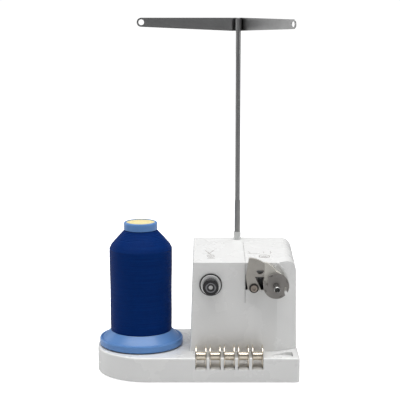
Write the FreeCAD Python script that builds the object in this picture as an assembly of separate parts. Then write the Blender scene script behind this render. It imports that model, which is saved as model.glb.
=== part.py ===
"""Electric bobbin winder with a telescopic thread stand, a loaded thread spool and five bobbins.

Frame: millimetres, +X to the right, +Y to the rear, +Z up. The origin is on the base's
underside, under the middle of the base's plan outline.
"""
import FreeCAD, Part

import math
import os

from FreeCAD import Vector

X_AXIS = Vector(1, 0, 0)
Y_AXIS = Vector(0, 1, 0)
Z_AXIS = Vector(0, 0, 1)

# ---------------------------------------------------------------- clearances
RUNNING_GAP = 0.04        # radial, shaft in a bush
SLIDING_GAP = 0.05        # radial, telescopic tubes
LOOSE_GAP = 0.25          # around pieces that lift out by hand
SCREW_GAP = 0.2           # radial, screw shank in a through hole
BODY_GAP = 0.3            # between faces of bodies that move past each other

# ---------------------------------------------------------------- base
BASE_LENGTH = 184.1
BASE_WIDTH = 97.7
BASE_HEIGHT = 22.5
BASE_ROUND_END_RADIUS = 47.0
BASE_SQUARE_CORNER_RADIUS = 3.0
BASE_TOP_EDGE_RADIUS = 1.5
BASE_BOTTOM_EDGE_RADIUS = 0.6
BASE_WALL = 2.4
DECK_THICKNESS = 2.4
COVER_THICKNESS = 2.6
COVER_GAP = 0.15
FRONT_Y = -BASE_WIDTH / 2
REAR_Y = BASE_WIDTH / 2
LEFT_X = -BASE_LENGTH / 2
RIGHT_X = BASE_LENGTH / 2

# ---------------------------------------------------------------- feet and screws
FOOT_RADIUS = 6.0
FOOT_PROUD = 1.2
FOOT_RECESS = 0.8
FOOT_INSET = 13.0
SCREW_SHANK_RADIUS = 1.5
SCREW_HEAD_RADIUS = 2.7
SCREW_HEAD_HEIGHT = 1.5
SCREW_BOSS_RADIUS = 3.8
COVER_SCREW_LENGTH = 10.0

# ---------------------------------------------------------------- thread cutter
BLADE_THICKNESS = 0.5
BLADE_ROOT = 1.2

# ---------------------------------------------------------------- housing
HOUSING_LENGTH = 97.7
HOUSING_RIGHT_INSET = 0.85
HOUSING_SETBACK = 21.7
HOUSING_REAR_INSET = 0.5
HOUSING_FRONT_HEIGHT = 104.9
TOP_SLOPE_DEG = 6.2
LEFT_DRAFT_DEG = 1.8
RIGHT_DRAFT_DEG = 0.8
FACET_WIDTH = 18.95
FACET_DEPTH = 10.4
TOP_RIGHT_RADIUS = 11.0
TOP_LEFT_RADIUS = 1.6
HOUSING_WALL = 2.2
SEAM_WIDTH = 0.6
SEAM_DEPTH = 0.9
SEAM_FOOT_Z = 68.0
HOUSING_RIGHT_X = RIGHT_X - HOUSING_RIGHT_INSET
HOUSING_LEFT_X = HOUSING_RIGHT_X - HOUSING_LENGTH
HOUSING_FRONT_Y = FRONT_Y + HOUSING_SETBACK
HOUSING_REAR_Y = REAR_Y - HOUSING_REAR_INSET
HOUSING_INNER_Y = HOUSING_FRONT_Y + HOUSING_WALL
BOSS_TO_WALL = 3.3

# ---------------------------------------------------------------- bobbins and their rack
SPINDLE_RADIUS = 2.85
BOBBIN_COUNT = 5
BOBBIN_RADIUS = 10.3
BOBBIN_WIDTH = 9.4
BOBBIN_FLANGE = 0.6
BOBBIN_HUB_RADIUS = 3.8
BOBBIN_BORE_RADIUS = SPINDLE_RADIUS + 0.2
BOBBIN_HOLE_RADIUS = 1.12
BOBBIN_PITCH = 12.7
FIRST_BOBBIN_X = HOUSING_LEFT_X + 10.0
BOBBIN_LIP_HEIGHT = 11.6
BOBBIN_Y = HOUSING_FRONT_Y - BOBBIN_RADIUS - 0.9
BOBBIN_Z = BASE_HEIGHT - 0.9
SLOT_RADIUS = BOBBIN_RADIUS + LOOSE_GAP
SLOT_WIDTH = BOBBIN_WIDTH + 2 * 0.35
RACK_WALL = 2.0

# ---------------------------------------------------------------- thread spool
SPOOL_X = LEFT_X + 40.2
SPOOL_Y = -0.15
FELT_RADIUS = 24.0
FELT_THICKNESS = 1.0
SPOOL_FLANGE_RADIUS = 38.5
SPOOL_HEIGHT = 114.0
SPOOL_RIM_HEIGHT = 6.4
SPOOL_CONE_HEIGHT = 13.0
SPOOL_BARREL_RADIUS = 14.2
SPOOL_WALL = 1.6
COLLAR_RADIUS = 15.3
COLLAR_HEIGHT = 6.7
THREAD_FOOT_RADIUS = 28.2
THREAD_SHOULDER_RADIUS = 28.8
THREAD_SHOULDER_HEIGHT = 91.2
LABEL_RADIUS = 13.1
LABEL_THICKNESS = 0.4
PIN_RADIUS = 4.0
PIN_HEIGHT = 82.0
PIN_FLANGE_RADIUS = SPOOL_BARREL_RADIUS - SPOOL_WALL - LOOSE_GAP
PIN_FLANGE_HEIGHT = 5.0

# ---------------------------------------------------------------- thread stand
ROD_X = HOUSING_LEFT_X + 44.65
ROD_Y = REAR_Y - 6.45
SOCKET_RADIUS = 3.25
SOCKET_TOP = 119.8
SOCKET_FOOT = 84.0
TUBE_RADIUS = 2.65
TUBE_TOP = 150.0
TUBE_LENGTH = 110.0
ROD_RADIUS = 2.25
ROD_TOP = 321.5
ROD_OVERLAP = 16.0
TUBE_PLUG = 3.0
BAR_ARM_LENGTH = 90.0
BAR_ROOT_HEIGHT = 12.1
BAR_TIP_RADIUS = 4.2
BAR_THICKNESS = 1.0
BAR_EYE_RADIUS = 2.65
BAR_SWEEP_DEG = -61.0
BAR_JOGGLE = 2.4
BAR_KNEE = 2.4
COLLAR_WALL = 0.8
COLLAR_LENGTH = 10.0

# ---------------------------------------------------------------- winder arm and spindle
PIVOT_FROM_RIGHT = 40.15
PIVOT_Z = 83.2
SPINDLE_OFFSET_X = 19.8
SPINDLE_OFFSET_Z = 2.5
LEVER_FRONT_STAND = 6.7
LEVER_BACK_STAND = 1.8
SHIELD_THICKNESS = 1.2
SHIELD_RADIUS = 31.4
SHIELD_RIM = 1.5
SHIELD_LIFT = 1.3
SHIELD_FROM_DEG = -8.0
SHIELD_TO_DEG = 45.0
POST_RADIUS = 2.9
JOURNAL_RADIUS = 2.3
PIVOT_THREAD_RADIUS = 1.275
PIVOT_WASHER_RADIUS = 4.3
PIVOT_HEAD_RADIUS = 2.9
SEAT_RADIUS = 11.6
SEAT_THICKNESS = 1.2
SEAT_STAND = 10.0
SPINDLE_LENGTH = 14.6
SPINDLE_NECK_RADIUS = 2.4
SPINDLE_UNDERCUT = 0.5
SPINDLE_SHOULDER_RADIUS = 3.4
SPINDLE_BORE_RADIUS = 2.3
SEAT_MARK_DEPTH = 0.7
SPINDLE_BORE_DEPTH = 10.0
SPINDLE_CHAMFER = 0.4
SPINDLE_SLOT_WIDTH = 1.0
SPINDLE_SLOT_DEPTH = 2.2
AXLE_RADIUS = 2.0
BEARING_TUBE_RADIUS = 4.9
BEARING_BORE_RADIUS = 3.6
BEARING_TUBE_REACH = 12.0
BUSH_LENGTH = 5.0
WHEEL_RADIUS = 7.6
TYRE_RADIUS = 9.3
WHEEL_WIDTH = 5.0
CLIP_RADIUS = 3.4
CLIP_GROOVE_RADIUS = 1.6
CLIP_THICKNESS = 0.6
STUD_RADIUS = 1.6
PIVOT_X = HOUSING_RIGHT_X - PIVOT_FROM_RIGHT
SPINDLE_X = PIVOT_X + SPINDLE_OFFSET_X
SPINDLE_Z = PIVOT_Z + SPINDLE_OFFSET_Z
LEVER_FRONT_Y = HOUSING_FRONT_Y - LEVER_FRONT_STAND
LEVER_BACK_Y = HOUSING_FRONT_Y - LEVER_BACK_STAND
SEAT_FRONT_Y = HOUSING_FRONT_Y - SEAT_STAND

# ---------------------------------------------------------------- window behind the arm
WINDOW_LEFT = PIVOT_X - 7.4
WINDOW_SILL_Z = 80.0
WINDOW_RIGHT = SPINDLE_X + 5.4
WINDOW_TOP_Z = 94.0
STUD_WINDOW_WIDTH = 11.0
STUD_WINDOW_TOP_Z = 99.8

# ---------------------------------------------------------------- drive inside the housing
BRACKET_Y = HOUSING_FRONT_Y + 24.5
BRACKET_THICKNESS = 2.0
BRACKET_LEFT = HOUSING_LEFT_X + 28.5
BRACKET_RIGHT = HOUSING_RIGHT_X - 5.2
BRACKET_FOOT_Z = 44.0
BRACKET_HEAD_Z = 100.0
BRACKET_BOSS_INSET = 5.5
MOTOR_RADIUS = 12.2
MOTOR_LENGTH = 30.0
MOTOR_NOSE_RADIUS = 3.5
MOTOR_NOSE_LENGTH = 2.0
MOTOR_SHAFT_RADIUS = 1.15
MOTOR_SCREW_SPACING = 16.0
MOTOR_SCREW_RADIUS = 1.25
ROLLER_RADIUS = 4.5
ROLLER_GAP = 0.04
SWITCH_LENGTH = 12.8
SWITCH_HEIGHT = 6.5
SWITCH_DEPTH = 5.8
PLUNGER_RADIUS = 0.9
PLUNGER_REACH = 2.6

# ---------------------------------------------------------------- pretension unit
TENSION_X = HOUSING_LEFT_X + 18.75
TENSION_Z = 84.9
ESCUTCHEON_RADIUS = 10.2
DISC_RADIUS = 9.0
DISC_DISH = 0.7
DISC_THICKNESS = 0.5
KNOB_RADIUS = 7.2
KNOB_LENGTH = 7.4
KNOB_STAND = 12.0
KNOB_FLUTES = 24
FLUTE_RADIUS = 0.45
TENSION_STUD_RADIUS = 1.9
TENSION_SPRING_RADIUS = 3.6
SPRING_WIRE_RADIUS = 0.4
LEVER_SPRING_LENGTH = 4.4
STOP_WASHER_THICKNESS = 0.8
PRESSURE_THICKNESS = 0.6

# ---------------------------------------------------------------- electrics
JACK_X = HOUSING_RIGHT_X - 29.2
JACK_Z = 38.0
JACK_RADIUS = 4.0
JACK_FLANGE_RADIUS = 6.0
JACK_BORE_RADIUS = 2.75
JACK_LENGTH = 12.0
BOARD_LENGTH = 44.0
BOARD_WIDTH = 26.0
BOARD_THICKNESS = 1.6

os.makedirs("parts", exist_ok=True)


def save(shape, node):
    """Write one node; several separate solids stay separate in one file."""
    if not shape.isValid():
        print("not valid:", node)
    shape.exportStep("parts/%s.step" % node)
    print("%-26s solids %2d  volume %9.1f" % (node, len(shape.Solids), shape.Volume))


def cylinder(radius, length, point, axis=Z_AXIS):
    return Part.makeCylinder(radius, length, Vector(*point), axis)


def ring(outer, inner, length, point, axis=Z_AXIS):
    return cylinder(outer, length, point, axis).cut(cylinder(inner, length, point, axis))


def box(low, high):
    size = [high[i] - low[i] for i in range(3)]
    return Part.makeBox(size[0], size[1], size[2], Vector(*low))


def join(shapes):
    """Fuse touching shapes into one clean solid."""
    shapes = list(shapes)
    return shapes[0].fuse(shapes[1:]).removeSplitter()


def revolve(profile, centre, axis):
    """Turn a closed outline of (radius, height) points about an axis through centre."""
    across = X_AXIS if abs(axis.x) < 0.5 else Z_AXIS
    base = Vector(*centre)
    points = [base + across * r + axis * h for r, h in profile]
    face = Part.Face(Part.makePolygon(points + [points[0]]))
    return face.revolve(base, axis, 360)


def plate_xz(edges, y_front, thickness):
    """Extrude a closed outline that lies in the plane y = y_front towards the rear."""
    return Part.Face(Part.Wire(edges)).extrude(Vector(0, thickness, 0))


def line(a, b):
    return Part.LineSegment(a, b).toShape()


def arc(a, middle, b):
    return Part.Arc(a, middle, b).toShape()


def rim_edges(shape, z):
    """Edges that lie in the horizontal plane at height z."""
    return [e for e in shape.Edges if abs(e.BoundBox.ZMin - z) < 1e-4 and abs(e.BoundBox.ZMax - z) < 1e-4]


# ================================================================ base
def base_outline(inset, z):
    """Plan outline of the base, moved inwards by inset: left end round, right corners small."""
    left, right = LEFT_X + inset, RIGHT_X - inset
    front, rear = FRONT_Y + inset, REAR_Y - inset
    big = BASE_ROUND_END_RADIUS - inset
    small = max(BASE_SQUARE_CORNER_RADIUS - inset, 0.6)
    s = math.sqrt(0.5)
    edges = [
        line(Vector(left + big, front, z), Vector(right - small, front, z)),
        arc(Vector(right - small, front, z), Vector(right - small + small * s, front + small - small * s, z),
            Vector(right, front + small, z)),
        line(Vector(right, front + small, z), Vector(right, rear - small, z)),
        arc(Vector(right, rear - small, z), Vector(right - small + small * s, rear - small + small * s, z),
            Vector(right - small, rear, z)),
        line(Vector(right - small, rear, z), Vector(left + big, rear, z)),
        arc(Vector(left + big, rear, z), Vector(left + big - big * s, rear - big + big * s, z),
            Vector(left, rear - big, z)),
        line(Vector(left, rear - big, z), Vector(left, front + big, z)),
        arc(Vector(left, front + big, z), Vector(left + big - big * s, front + big - big * s, z),
            Vector(left + big, front, z)),
    ]
    return Part.Face(Part.Wire(edges))


def bobbin_x(index):
    return FIRST_BOBBIN_X + index * BOBBIN_PITCH


RACK_LEFT = bobbin_x(0) - SLOT_WIDTH / 2 - (BOBBIN_PITCH - SLOT_WIDTH)
RACK_RIGHT = bobbin_x(BOBBIN_COUNT - 1) + SLOT_WIDTH / 2 + (BOBBIN_PITCH - SLOT_WIDTH)

COVER_SCREWS = [
    (LEFT_X + 17.0, FRONT_Y + 25.0),
    (LEFT_X + 17.0, REAR_Y - 25.0),
    (-24.0, REAR_Y - 9.0),
    (-16.0, FRONT_Y + 9.0),
    (RIGHT_X - 8.0, FRONT_Y + 8.5),
    (RIGHT_X - 8.0, REAR_Y - 8.5),
]
HOUSING_SCREWS = [
    (HOUSING_LEFT_X + 10.0, HOUSING_INNER_Y + BOSS_TO_WALL),
    (HOUSING_LEFT_X + 10.0, HOUSING_REAR_Y - HOUSING_WALL - BOSS_TO_WALL),
    (HOUSING_RIGHT_X - FACET_WIDTH - 4.0, HOUSING_INNER_Y + BOSS_TO_WALL),
    (HOUSING_RIGHT_X - 14.0, HOUSING_REAR_Y - HOUSING_WALL - BOSS_TO_WALL),
]
FEET = [
    (LEFT_X + FOOT_INSET + 14.0, FRONT_Y + FOOT_INSET + 4.0),
    (LEFT_X + FOOT_INSET + 14.0, REAR_Y - FOOT_INSET - 4.0),
    (RIGHT_X - FOOT_INSET - 6.0, FRONT_Y + FOOT_INSET),
    (RIGHT_X - FOOT_INSET - 6.0, REAR_Y - FOOT_INSET),
]
HOUSING_SCREW_LENGTH = 9.0
HOUSING_BOSS_HEIGHT = 14.0


def scoop_cutter():
    """Ramp beside the rack: it starts at the deck and is deepest at its right end."""
    left, right = RACK_RIGHT + 3.6, RIGHT_X - 5.7
    front, back = FRONT_Y + 6.2, HOUSING_FRONT_Y - 2.4
    depth = 3.4
    top = BASE_HEIGHT + 1.0
    deck = BASE_HEIGHT
    points = [
        Vector(left, front, top), Vector(left, front, deck),
        Vector(right, front, deck - depth), Vector(right, front, top),
    ]
    wedge = Part.Face(Part.makePolygon(points + [points[0]])).extrude(Vector(0, back - front, 0))
    # the rear side runs diagonally, so the scoop is a triangle in plan
    trim = Part.Face(Part.makePolygon([
        Vector(left - 1, front + 2.0, deck - depth - 1), Vector(right - 5.0, back, deck - depth - 1),
        Vector(left - 1, back + 1, deck - depth - 1), Vector(left - 1, front + 2.0, deck - depth - 1),
    ])).extrude(Vector(0, 0, depth + 4))
    return wedge.cut(trim), Vector(right, (front + back) / 2, deck - depth)


def base_shell():
    outer = base_outline(0, 0).extrude(Vector(0, 0, BASE_HEIGHT))
    outer = outer.makeFillet(BASE_TOP_EDGE_RADIUS, rim_edges(outer, BASE_HEIGHT))
    outer = outer.makeFillet(BASE_BOTTOM_EDGE_RADIUS, rim_edges(outer, 0))
    cavity = base_outline(BASE_WALL, -1).extrude(Vector(0, 0, BASE_HEIGHT - DECK_THICKNESS + 1))
    body = outer.cut(cavity)
    # rack: cradle walls under the slots
    rack_mid = Vector(RACK_LEFT, BOBBIN_Y, BOBBIN_Z)
    rack_length = RACK_RIGHT - RACK_LEFT
    cradle = cylinder(SLOT_RADIUS + RACK_WALL, rack_length, rack_mid, X_AXIS)
    cradle = cradle.common(outer)
    extras = [cradle]
    for x, y in COVER_SCREWS:
        extras.append(cylinder(SCREW_BOSS_RADIUS, BASE_HEIGHT - DECK_THICKNESS - COVER_THICKNESS,
                               (x, y, COVER_THICKNESS)))
    # scoop: a local thickening of the deck under the ramp
    scoop, deepest = scoop_cutter()
    extras.append(box((RACK_RIGHT + 2.0, FRONT_Y + 4.6, deepest.z - 2.0),
                      (RIGHT_X - 3.6, HOUSING_FRONT_Y - 0.6, BASE_HEIGHT - DECK_THICKNESS)))
    body = join([body] + extras)
    for i in range(BOBBIN_COUNT):
        x0 = bobbin_x(i) - SLOT_WIDTH / 2
        slot = cylinder(SLOT_RADIUS, SLOT_WIDTH, (x0, BOBBIN_Y, BOBBIN_Z), X_AXIS)
        mouth = box((x0, FRONT_Y - 1, BOBBIN_LIP_HEIGHT), (x0 + SLOT_WIDTH, BOBBIN_Y, BASE_HEIGHT + 1))
        body = body.cut(slot).cut(mouth)
    body = body.cut(scoop)
    # opening in the deck under the housing, for the stand's tube and the wiring
    body = body.cut(box((HOUSING_LEFT_X + 16.0, -6.0, BASE_HEIGHT - DECK_THICKNESS - 1),
                        (HOUSING_RIGHT_X - 26.0, HOUSING_REAR_Y - 3.0, BASE_HEIGHT + 1)))
    for x, y in COVER_SCREWS:
        body = body.cut(cylinder(SCREW_SHANK_RADIUS, COVER_SCREW_LENGTH, (x, y, COVER_THICKNESS - 1)))
    for x, y in HOUSING_SCREWS:
        body = body.cut(cylinder(SCREW_SHANK_RADIUS + SCREW_GAP, DECK_THICKNESS + 2,
                                 (x, y, BASE_HEIGHT - DECK_THICKNESS - 1)))
    body = body.cut(cylinder(SCREW_SHANK_RADIUS + SCREW_GAP, DECK_THICKNESS + 2,
                             (SPOOL_X, SPOOL_Y, BASE_HEIGHT - DECK_THICKNESS - 1)))
    body = body.cut(thread_cutter())
    return body.removeSplitter()


def bottom_cover():
    cover = base_outline(BASE_WALL + COVER_GAP, 0).extrude(Vector(0, 0, COVER_THICKNESS))
    for x, y in COVER_SCREWS:
        cover = cover.cut(cylinder(SCREW_HEAD_RADIUS + SCREW_GAP, SCREW_HEAD_HEIGHT, (x, y, 0)))
        cover = cover.cut(cylinder(SCREW_SHANK_RADIUS + SCREW_GAP, COVER_THICKNESS, (x, y, 0)))
    for x, y in FEET:
        cover = cover.cut(cylinder(FOOT_RADIUS, FOOT_RECESS, (x, y, 0)))
    return cover


def rubber_feet():
    feet = []
    for x, y in FEET:
        foot = cylinder(FOOT_RADIUS, FOOT_PROUD + FOOT_RECESS, (x, y, -FOOT_PROUD))
        feet.append(foot.makeFillet(0.5, rim_edges(foot, -FOOT_PROUD)))
    return Part.makeCompound(feet)


def screw(point, direction, length, shank=SCREW_SHANK_RADIUS, head=SCREW_HEAD_RADIUS):
    """Pan-head screw: point is under the head, direction is the way the shank goes."""
    under = Vector(*point)
    body = Part.makeCylinder(shank, length, under, direction)
    cap = Part.makeCylinder(head, SCREW_HEAD_HEIGHT, under - direction * SCREW_HEAD_HEIGHT, direction)
    crown = [e for e in cap.Edges if e.CenterOfMass.sub(under).dot(direction) < -SCREW_HEAD_HEIGHT + 1e-3]
    cap = cap.makeFillet(0.4, crown)
    recess_start = under - direction * (SCREW_HEAD_HEIGHT + 1e-3)
    recess = Part.makeCylinder(head * 0.42, SCREW_HEAD_HEIGHT * 0.5, recess_start, direction)
    return body.fuse(cap).cut(recess).removeSplitter()


def bottom_screws():
    return Part.makeCompound([screw((x, y, SCREW_HEAD_HEIGHT), Z_AXIS, COVER_SCREW_LENGTH - 1)
                              for x, y in COVER_SCREWS])


def housing_screws():
    under = BASE_HEIGHT - DECK_THICKNESS
    group = [screw((x, y, under), Z_AXIS, HOUSING_SCREW_LENGTH) for x, y in HOUSING_SCREWS]
    return Part.makeCompound(group)


def thread_cutter():
    """Steel blade pressed into the floor at the deep end of the scoop."""
    _, deepest = scoop_cutter()
    x = deepest.x - BLADE_THICKNESS
    low, high = deepest.z - BLADE_ROOT, BASE_HEIGHT - 0.6
    points = [Vector(x, FRONT_Y + 8.2, low), Vector(x, HOUSING_FRONT_Y - 4.4, low),
              Vector(x, HOUSING_FRONT_Y - 4.4, high), Vector(x, FRONT_Y + 10.4, high)]
    return Part.Face(Part.makePolygon(points + [points[0]])).extrude(Vector(BLADE_THICKNESS, 0, 0))


# ================================================================ housing
def housing_block(inset, z_low, z_high):
    """Drafted outer block with the facet at its right front corner, moved inwards by inset."""
    def outline(z):
        rise = z - BASE_HEIGHT
        left = HOUSING_LEFT_X + inset + rise * math.tan(math.radians(LEFT_DRAFT_DEG))
        right = HOUSING_RIGHT_X - inset - rise * math.tan(math.radians(RIGHT_DRAFT_DEG))
        slant = FACET_DEPTH / FACET_WIDTH
        crease = HOUSING_RIGHT_X - FACET_WIDTH - inset * (math.sqrt(1 + slant * slant) - 1) / slant
        front = HOUSING_FRONT_Y + inset
        rear = HOUSING_REAR_Y - inset
        corner = front + (right - crease) * slant
        points = [Vector(left, front, z), Vector(crease, front, z), Vector(right, corner, z),
                  Vector(right, rear, z), Vector(left, rear, z)]
        return Part.makePolygon(points + [points[0]])
    return Part.makeLoft([outline(z_low), outline(z_high)], True, True)


def housing_silhouette(inset, z_low):
    """Front silhouette swept along the top's slope: flat top with a big radius at the right."""
    climb = math.tan(math.radians(TOP_SLOPE_DEG))
    y_front = HOUSING_FRONT_Y - 5.0
    z_top = HOUSING_FRONT_HEIGHT - 5.0 * climb - inset / math.cos(math.radians(TOP_SLOPE_DEG))
    rise = HOUSING_FRONT_HEIGHT - BASE_HEIGHT
    left = HOUSING_LEFT_X + inset + rise * math.tan(math.radians(LEFT_DRAFT_DEG))
    right = HOUSING_RIGHT_X - inset - rise * math.tan(math.radians(RIGHT_DRAFT_DEG))
    big = TOP_RIGHT_RADIUS - inset
    small = max(TOP_LEFT_RADIUS - inset, 0.2)
    s = math.sqrt(0.5)
    wide = 4.0
    def at(x, z):
        return Vector(x, y_front, z)
    edges = [
        line(at(left - wide, z_low - 20), at(right + wide, z_low - 20)),
        line(at(right + wide, z_low - 20), at(right + wide, z_top - big - 12)),
        line(at(right + wide, z_top - big - 12), at(right, z_top - big)),
        arc(at(right, z_top - big), at(right - big + big * s, z_top - big + big * s), at(right - big, z_top)),
        line(at(right - big, z_top), at(left + small, z_top)),
        arc(at(left + small, z_top), at(left + small - small * s, z_top - small + small * s),
            at(left, z_top - small)),
        line(at(left, z_top - small), at(left - wide, z_top - small - 12)),
        line(at(left - wide, z_top - small - 12), at(left - wide, z_low - 20)),
    ]
    run = HOUSING_REAR_Y - HOUSING_FRONT_Y + 10.0
    return Part.Face(Part.Wire(edges)).extrude(Vector(0, run, run * climb))


def housing_solid(inset, z_low):
    return housing_block(inset, z_low, HOUSING_FRONT_HEIGHT + 20.0).common(housing_silhouette(inset, z_low))


def soften_housing(solid):
    """Round the standing edges; the top front edge and the crease stay crisp."""
    radii = {
        (HOUSING_LEFT_X, HOUSING_FRONT_Y): 1.8,
        (HOUSING_LEFT_X, HOUSING_REAR_Y): 3.0,
        (HOUSING_RIGHT_X, HOUSING_REAR_Y): 4.0,
        (HOUSING_RIGHT_X, HOUSING_FRONT_Y + FACET_DEPTH): 3.0,
    }
    for (x, y), radius in radii.items():
        edges = [e for e in solid.Edges
                 if e.BoundBox.ZLength > 40 and e.BoundBox.XLength < 4
                 and abs(e.BoundBox.Center.x - x) < 3.5 and abs(e.BoundBox.Center.y - y) < 2.0]
        solid = solid.makeFillet(radius, edges)
    return solid


def stand_hole(extra):
    return cylinder(SOCKET_RADIUS + extra, 60, (ROD_X, ROD_Y, SOCKET_FOOT))


def bracket_bosses():
    """Places of the four bosses that carry the mechanism bracket."""
    left, right = BRACKET_LEFT + BRACKET_BOSS_INSET, BRACKET_RIGHT - BRACKET_BOSS_INSET
    low, high = BRACKET_FOOT_Z + BRACKET_BOSS_INSET, BRACKET_HEAD_Z - BRACKET_BOSS_INSET
    return [(left, low), (right - 14.0, low), (left, high), (right + 1.5, high + 1.5)]


def window_cutter(depth):
    y0 = HOUSING_FRONT_Y - 1
    main = box((WINDOW_LEFT, y0, WINDOW_SILL_Z), (WINDOW_RIGHT, y0 + depth, WINDOW_TOP_Z))
    stud = stud_centre()
    upper = box((stud.x - STUD_WINDOW_WIDTH / 2, y0, WINDOW_SILL_Z),
                (stud.x + STUD_WINDOW_WIDTH / 2, y0 + depth, STUD_WINDOW_TOP_Z))
    return main.fuse(upper)


def housing_shell():
    outer = soften_housing(housing_solid(0, BASE_HEIGHT))
    inner = housing_solid(HOUSING_WALL, BASE_HEIGHT - 5)
    body = outer.cut(inner)
    extras = []
    for x, y in HOUSING_SCREWS:
        extras.append(cylinder(SCREW_BOSS_RADIUS, HOUSING_BOSS_HEIGHT, (x, y, BASE_HEIGHT)))
    reach = BRACKET_Y - HOUSING_FRONT_Y - 0.5
    for x, z in bracket_bosses():
        extras.append(cylinder(SCREW_BOSS_RADIUS, reach, (x, HOUSING_FRONT_Y + 0.5, z), Y_AXIS).common(outer))
    # collar that holds the stand's socket
    collar = cylinder(SOCKET_RADIUS + 2.0, 40, (ROD_X, ROD_Y, SOCKET_FOOT)).common(outer)
    extras.append(collar)
    body = join([body] + extras)
    body = body.cut(stand_hole(0))
    for x, y in HOUSING_SCREWS:
        body = body.cut(cylinder(SCREW_SHANK_RADIUS, HOUSING_SCREW_LENGTH, (x, y, BASE_HEIGHT - 1)))
    for x, z in bracket_bosses():
        body = body.cut(cylinder(SCREW_SHANK_RADIUS, 9.0, (x, BRACKET_Y - 8.0, z), Y_AXIS))
    body = body.cut(window_cutter(HOUSING_WALL + FACET_DEPTH / 2))
    body = body.cut(cylinder(TENSION_STUD_RADIUS + SCREW_GAP, HOUSING_WALL + 2,
                             (TENSION_X, HOUSING_FRONT_Y - 1, TENSION_Z), Y_AXIS))
    body = body.cut(cylinder(JACK_RADIUS + SCREW_GAP, HOUSING_WALL + 2,
                             (JACK_X, HOUSING_REAR_Y - HOUSING_WALL - 1, JACK_Z), Y_AXIS))
    # fine seam beside the window, up over the top's front edge
    x = WINDOW_LEFT - SEAM_WIDTH
    climb = math.tan(math.radians(TOP_SLOPE_DEG))
    seam_front = box((x, HOUSING_FRONT_Y - 1, SEAM_FOOT_Z),
                     (x + SEAM_WIDTH, HOUSING_FRONT_Y + SEAM_DEPTH, HOUSING_FRONT_HEIGHT + 2.1))
    seam_run = 58.0
    low = HOUSING_FRONT_HEIGHT - SEAM_DEPTH
    seam_end = HOUSING_FRONT_Y + seam_run
    points = [
        Vector(x, HOUSING_FRONT_Y - 1, low),
        Vector(x, seam_end, low + seam_run * climb),
        Vector(x, seam_end, low + 16),
        Vector(x, HOUSING_FRONT_Y - 1, low + 16),
    ]
    seam_top = Part.Face(Part.makePolygon(points + [points[0]])).extrude(Vector(SEAM_WIDTH, 0, 0))
    body = body.cut(seam_front).cut(seam_top)
    return body.removeSplitter()


# ================================================================ thread stand
def rod_socket():
    sleeve = ring(SOCKET_RADIUS, TUBE_RADIUS + SLIDING_GAP, SOCKET_TOP - SOCKET_FOOT,
                  (ROD_X, ROD_Y, SOCKET_FOOT))
    return sleeve.makeFillet(0.25, [e for e in rim_edges(sleeve, SOCKET_TOP)
                                    if abs(e.BoundBox.XLength - 2 * SOCKET_RADIUS) < 0.01])


def lower_tube():
    foot = TUBE_TOP - TUBE_LENGTH
    tube = ring(TUBE_RADIUS, ROD_RADIUS + SLIDING_GAP, TUBE_LENGTH, (ROD_X, ROD_Y, foot))
    plug = cylinder(ROD_RADIUS + SLIDING_GAP, TUBE_PLUG, (ROD_X, ROD_Y, foot))
    return join([tube, plug])


def upper_rod():
    foot = TUBE_TOP - ROD_OVERLAP
    rod = cylinder(ROD_RADIUS, ROD_TOP - foot, (ROD_X, ROD_Y, foot))
    return rod.makeFillet(0.5, rim_edges(rod, ROD_TOP))


def bar_strip(length, tip_angle_deg, root):
    """One arm of the bar: a tapering strip with a round tip and an eye, from root outwards."""
    top = ROD_TOP
    low = top - BAR_ROOT_HEIGHT
    r = BAR_TIP_RADIUS
    z_eye = top - r
    edges = [
        line(Vector(0, 0, top), Vector(length, 0, top)),
        arc(Vector(length, 0, top), Vector(length + r, 0, z_eye), Vector(length, 0, z_eye - r)),
        line(Vector(length, 0, z_eye - r), Vector(0, 0, low)),
        line(Vector(0, 0, low), Vector(0, 0, top)),
    ]
    strip = Part.Face(Part.Wire(edges)).extrude(Vector(0, BAR_THICKNESS, 0))
    strip = strip.cut(cylinder(BAR_EYE_RADIUS, BAR_THICKNESS, (length, 0, z_eye), Y_AXIS))
    strip.rotate(Vector(0, 0, 0), Z_AXIS, tip_angle_deg)
    strip.translate(root)
    return strip


def guide_bar():
    """Strip behind the rod: left arm square to the front, right arm swept forward."""
    back = ROD_Y + ROD_RADIUS + RUNNING_GAP + COLLAR_WALL - 0.1
    low = ROD_TOP - BAR_ROOT_HEIGHT
    knee_x = ROD_X + BAR_KNEE
    middle = box((ROD_X - 3.0, back, low), (knee_x, back + BAR_THICKNESS, ROD_TOP))
    front_y = back - BAR_JOGGLE
    left = bar_strip(BAR_ARM_LENGTH - 6.0, 180, Vector(ROD_X - 6.0, front_y + BAR_THICKNESS, 0))
    points = [Vector(ROD_X - 3.0, back, low), Vector(ROD_X - 3.0, back + BAR_THICKNESS, low),
              Vector(ROD_X - 6.0, front_y + BAR_THICKNESS, low), Vector(ROD_X - 6.0, front_y, low)]
    joggle = Part.Face(Part.makePolygon(points + [points[0]])).extrude(Vector(0, 0, BAR_ROOT_HEIGHT))
    right = bar_strip(BAR_ARM_LENGTH - BAR_KNEE, BAR_SWEEP_DEG, Vector(knee_x, back, 0))
    knee = cylinder(BAR_THICKNESS, BAR_ROOT_HEIGHT, (knee_x, back, low))
    knee = knee.common(box((knee_x, back, low), (knee_x + BAR_THICKNESS, back + BAR_THICKNESS, ROD_TOP)))
    return join([middle, joggle, left, right, knee])


def bar_collar():
    """Sleeve welded to the bar: it turns on the rod."""
    inner = ROD_RADIUS + RUNNING_GAP
    sleeve = ring(inner + COLLAR_WALL, inner, COLLAR_LENGTH, (ROD_X, ROD_Y, ROD_TOP - 1.0 - COLLAR_LENGTH))
    return sleeve.cut(box((ROD_X - 9, ROD_Y + inner + COLLAR_WALL - 0.1, ROD_TOP - 20),
                          (ROD_X + 9, ROD_Y + inner + COLLAR_WALL + 9, ROD_TOP + 1)))


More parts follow.
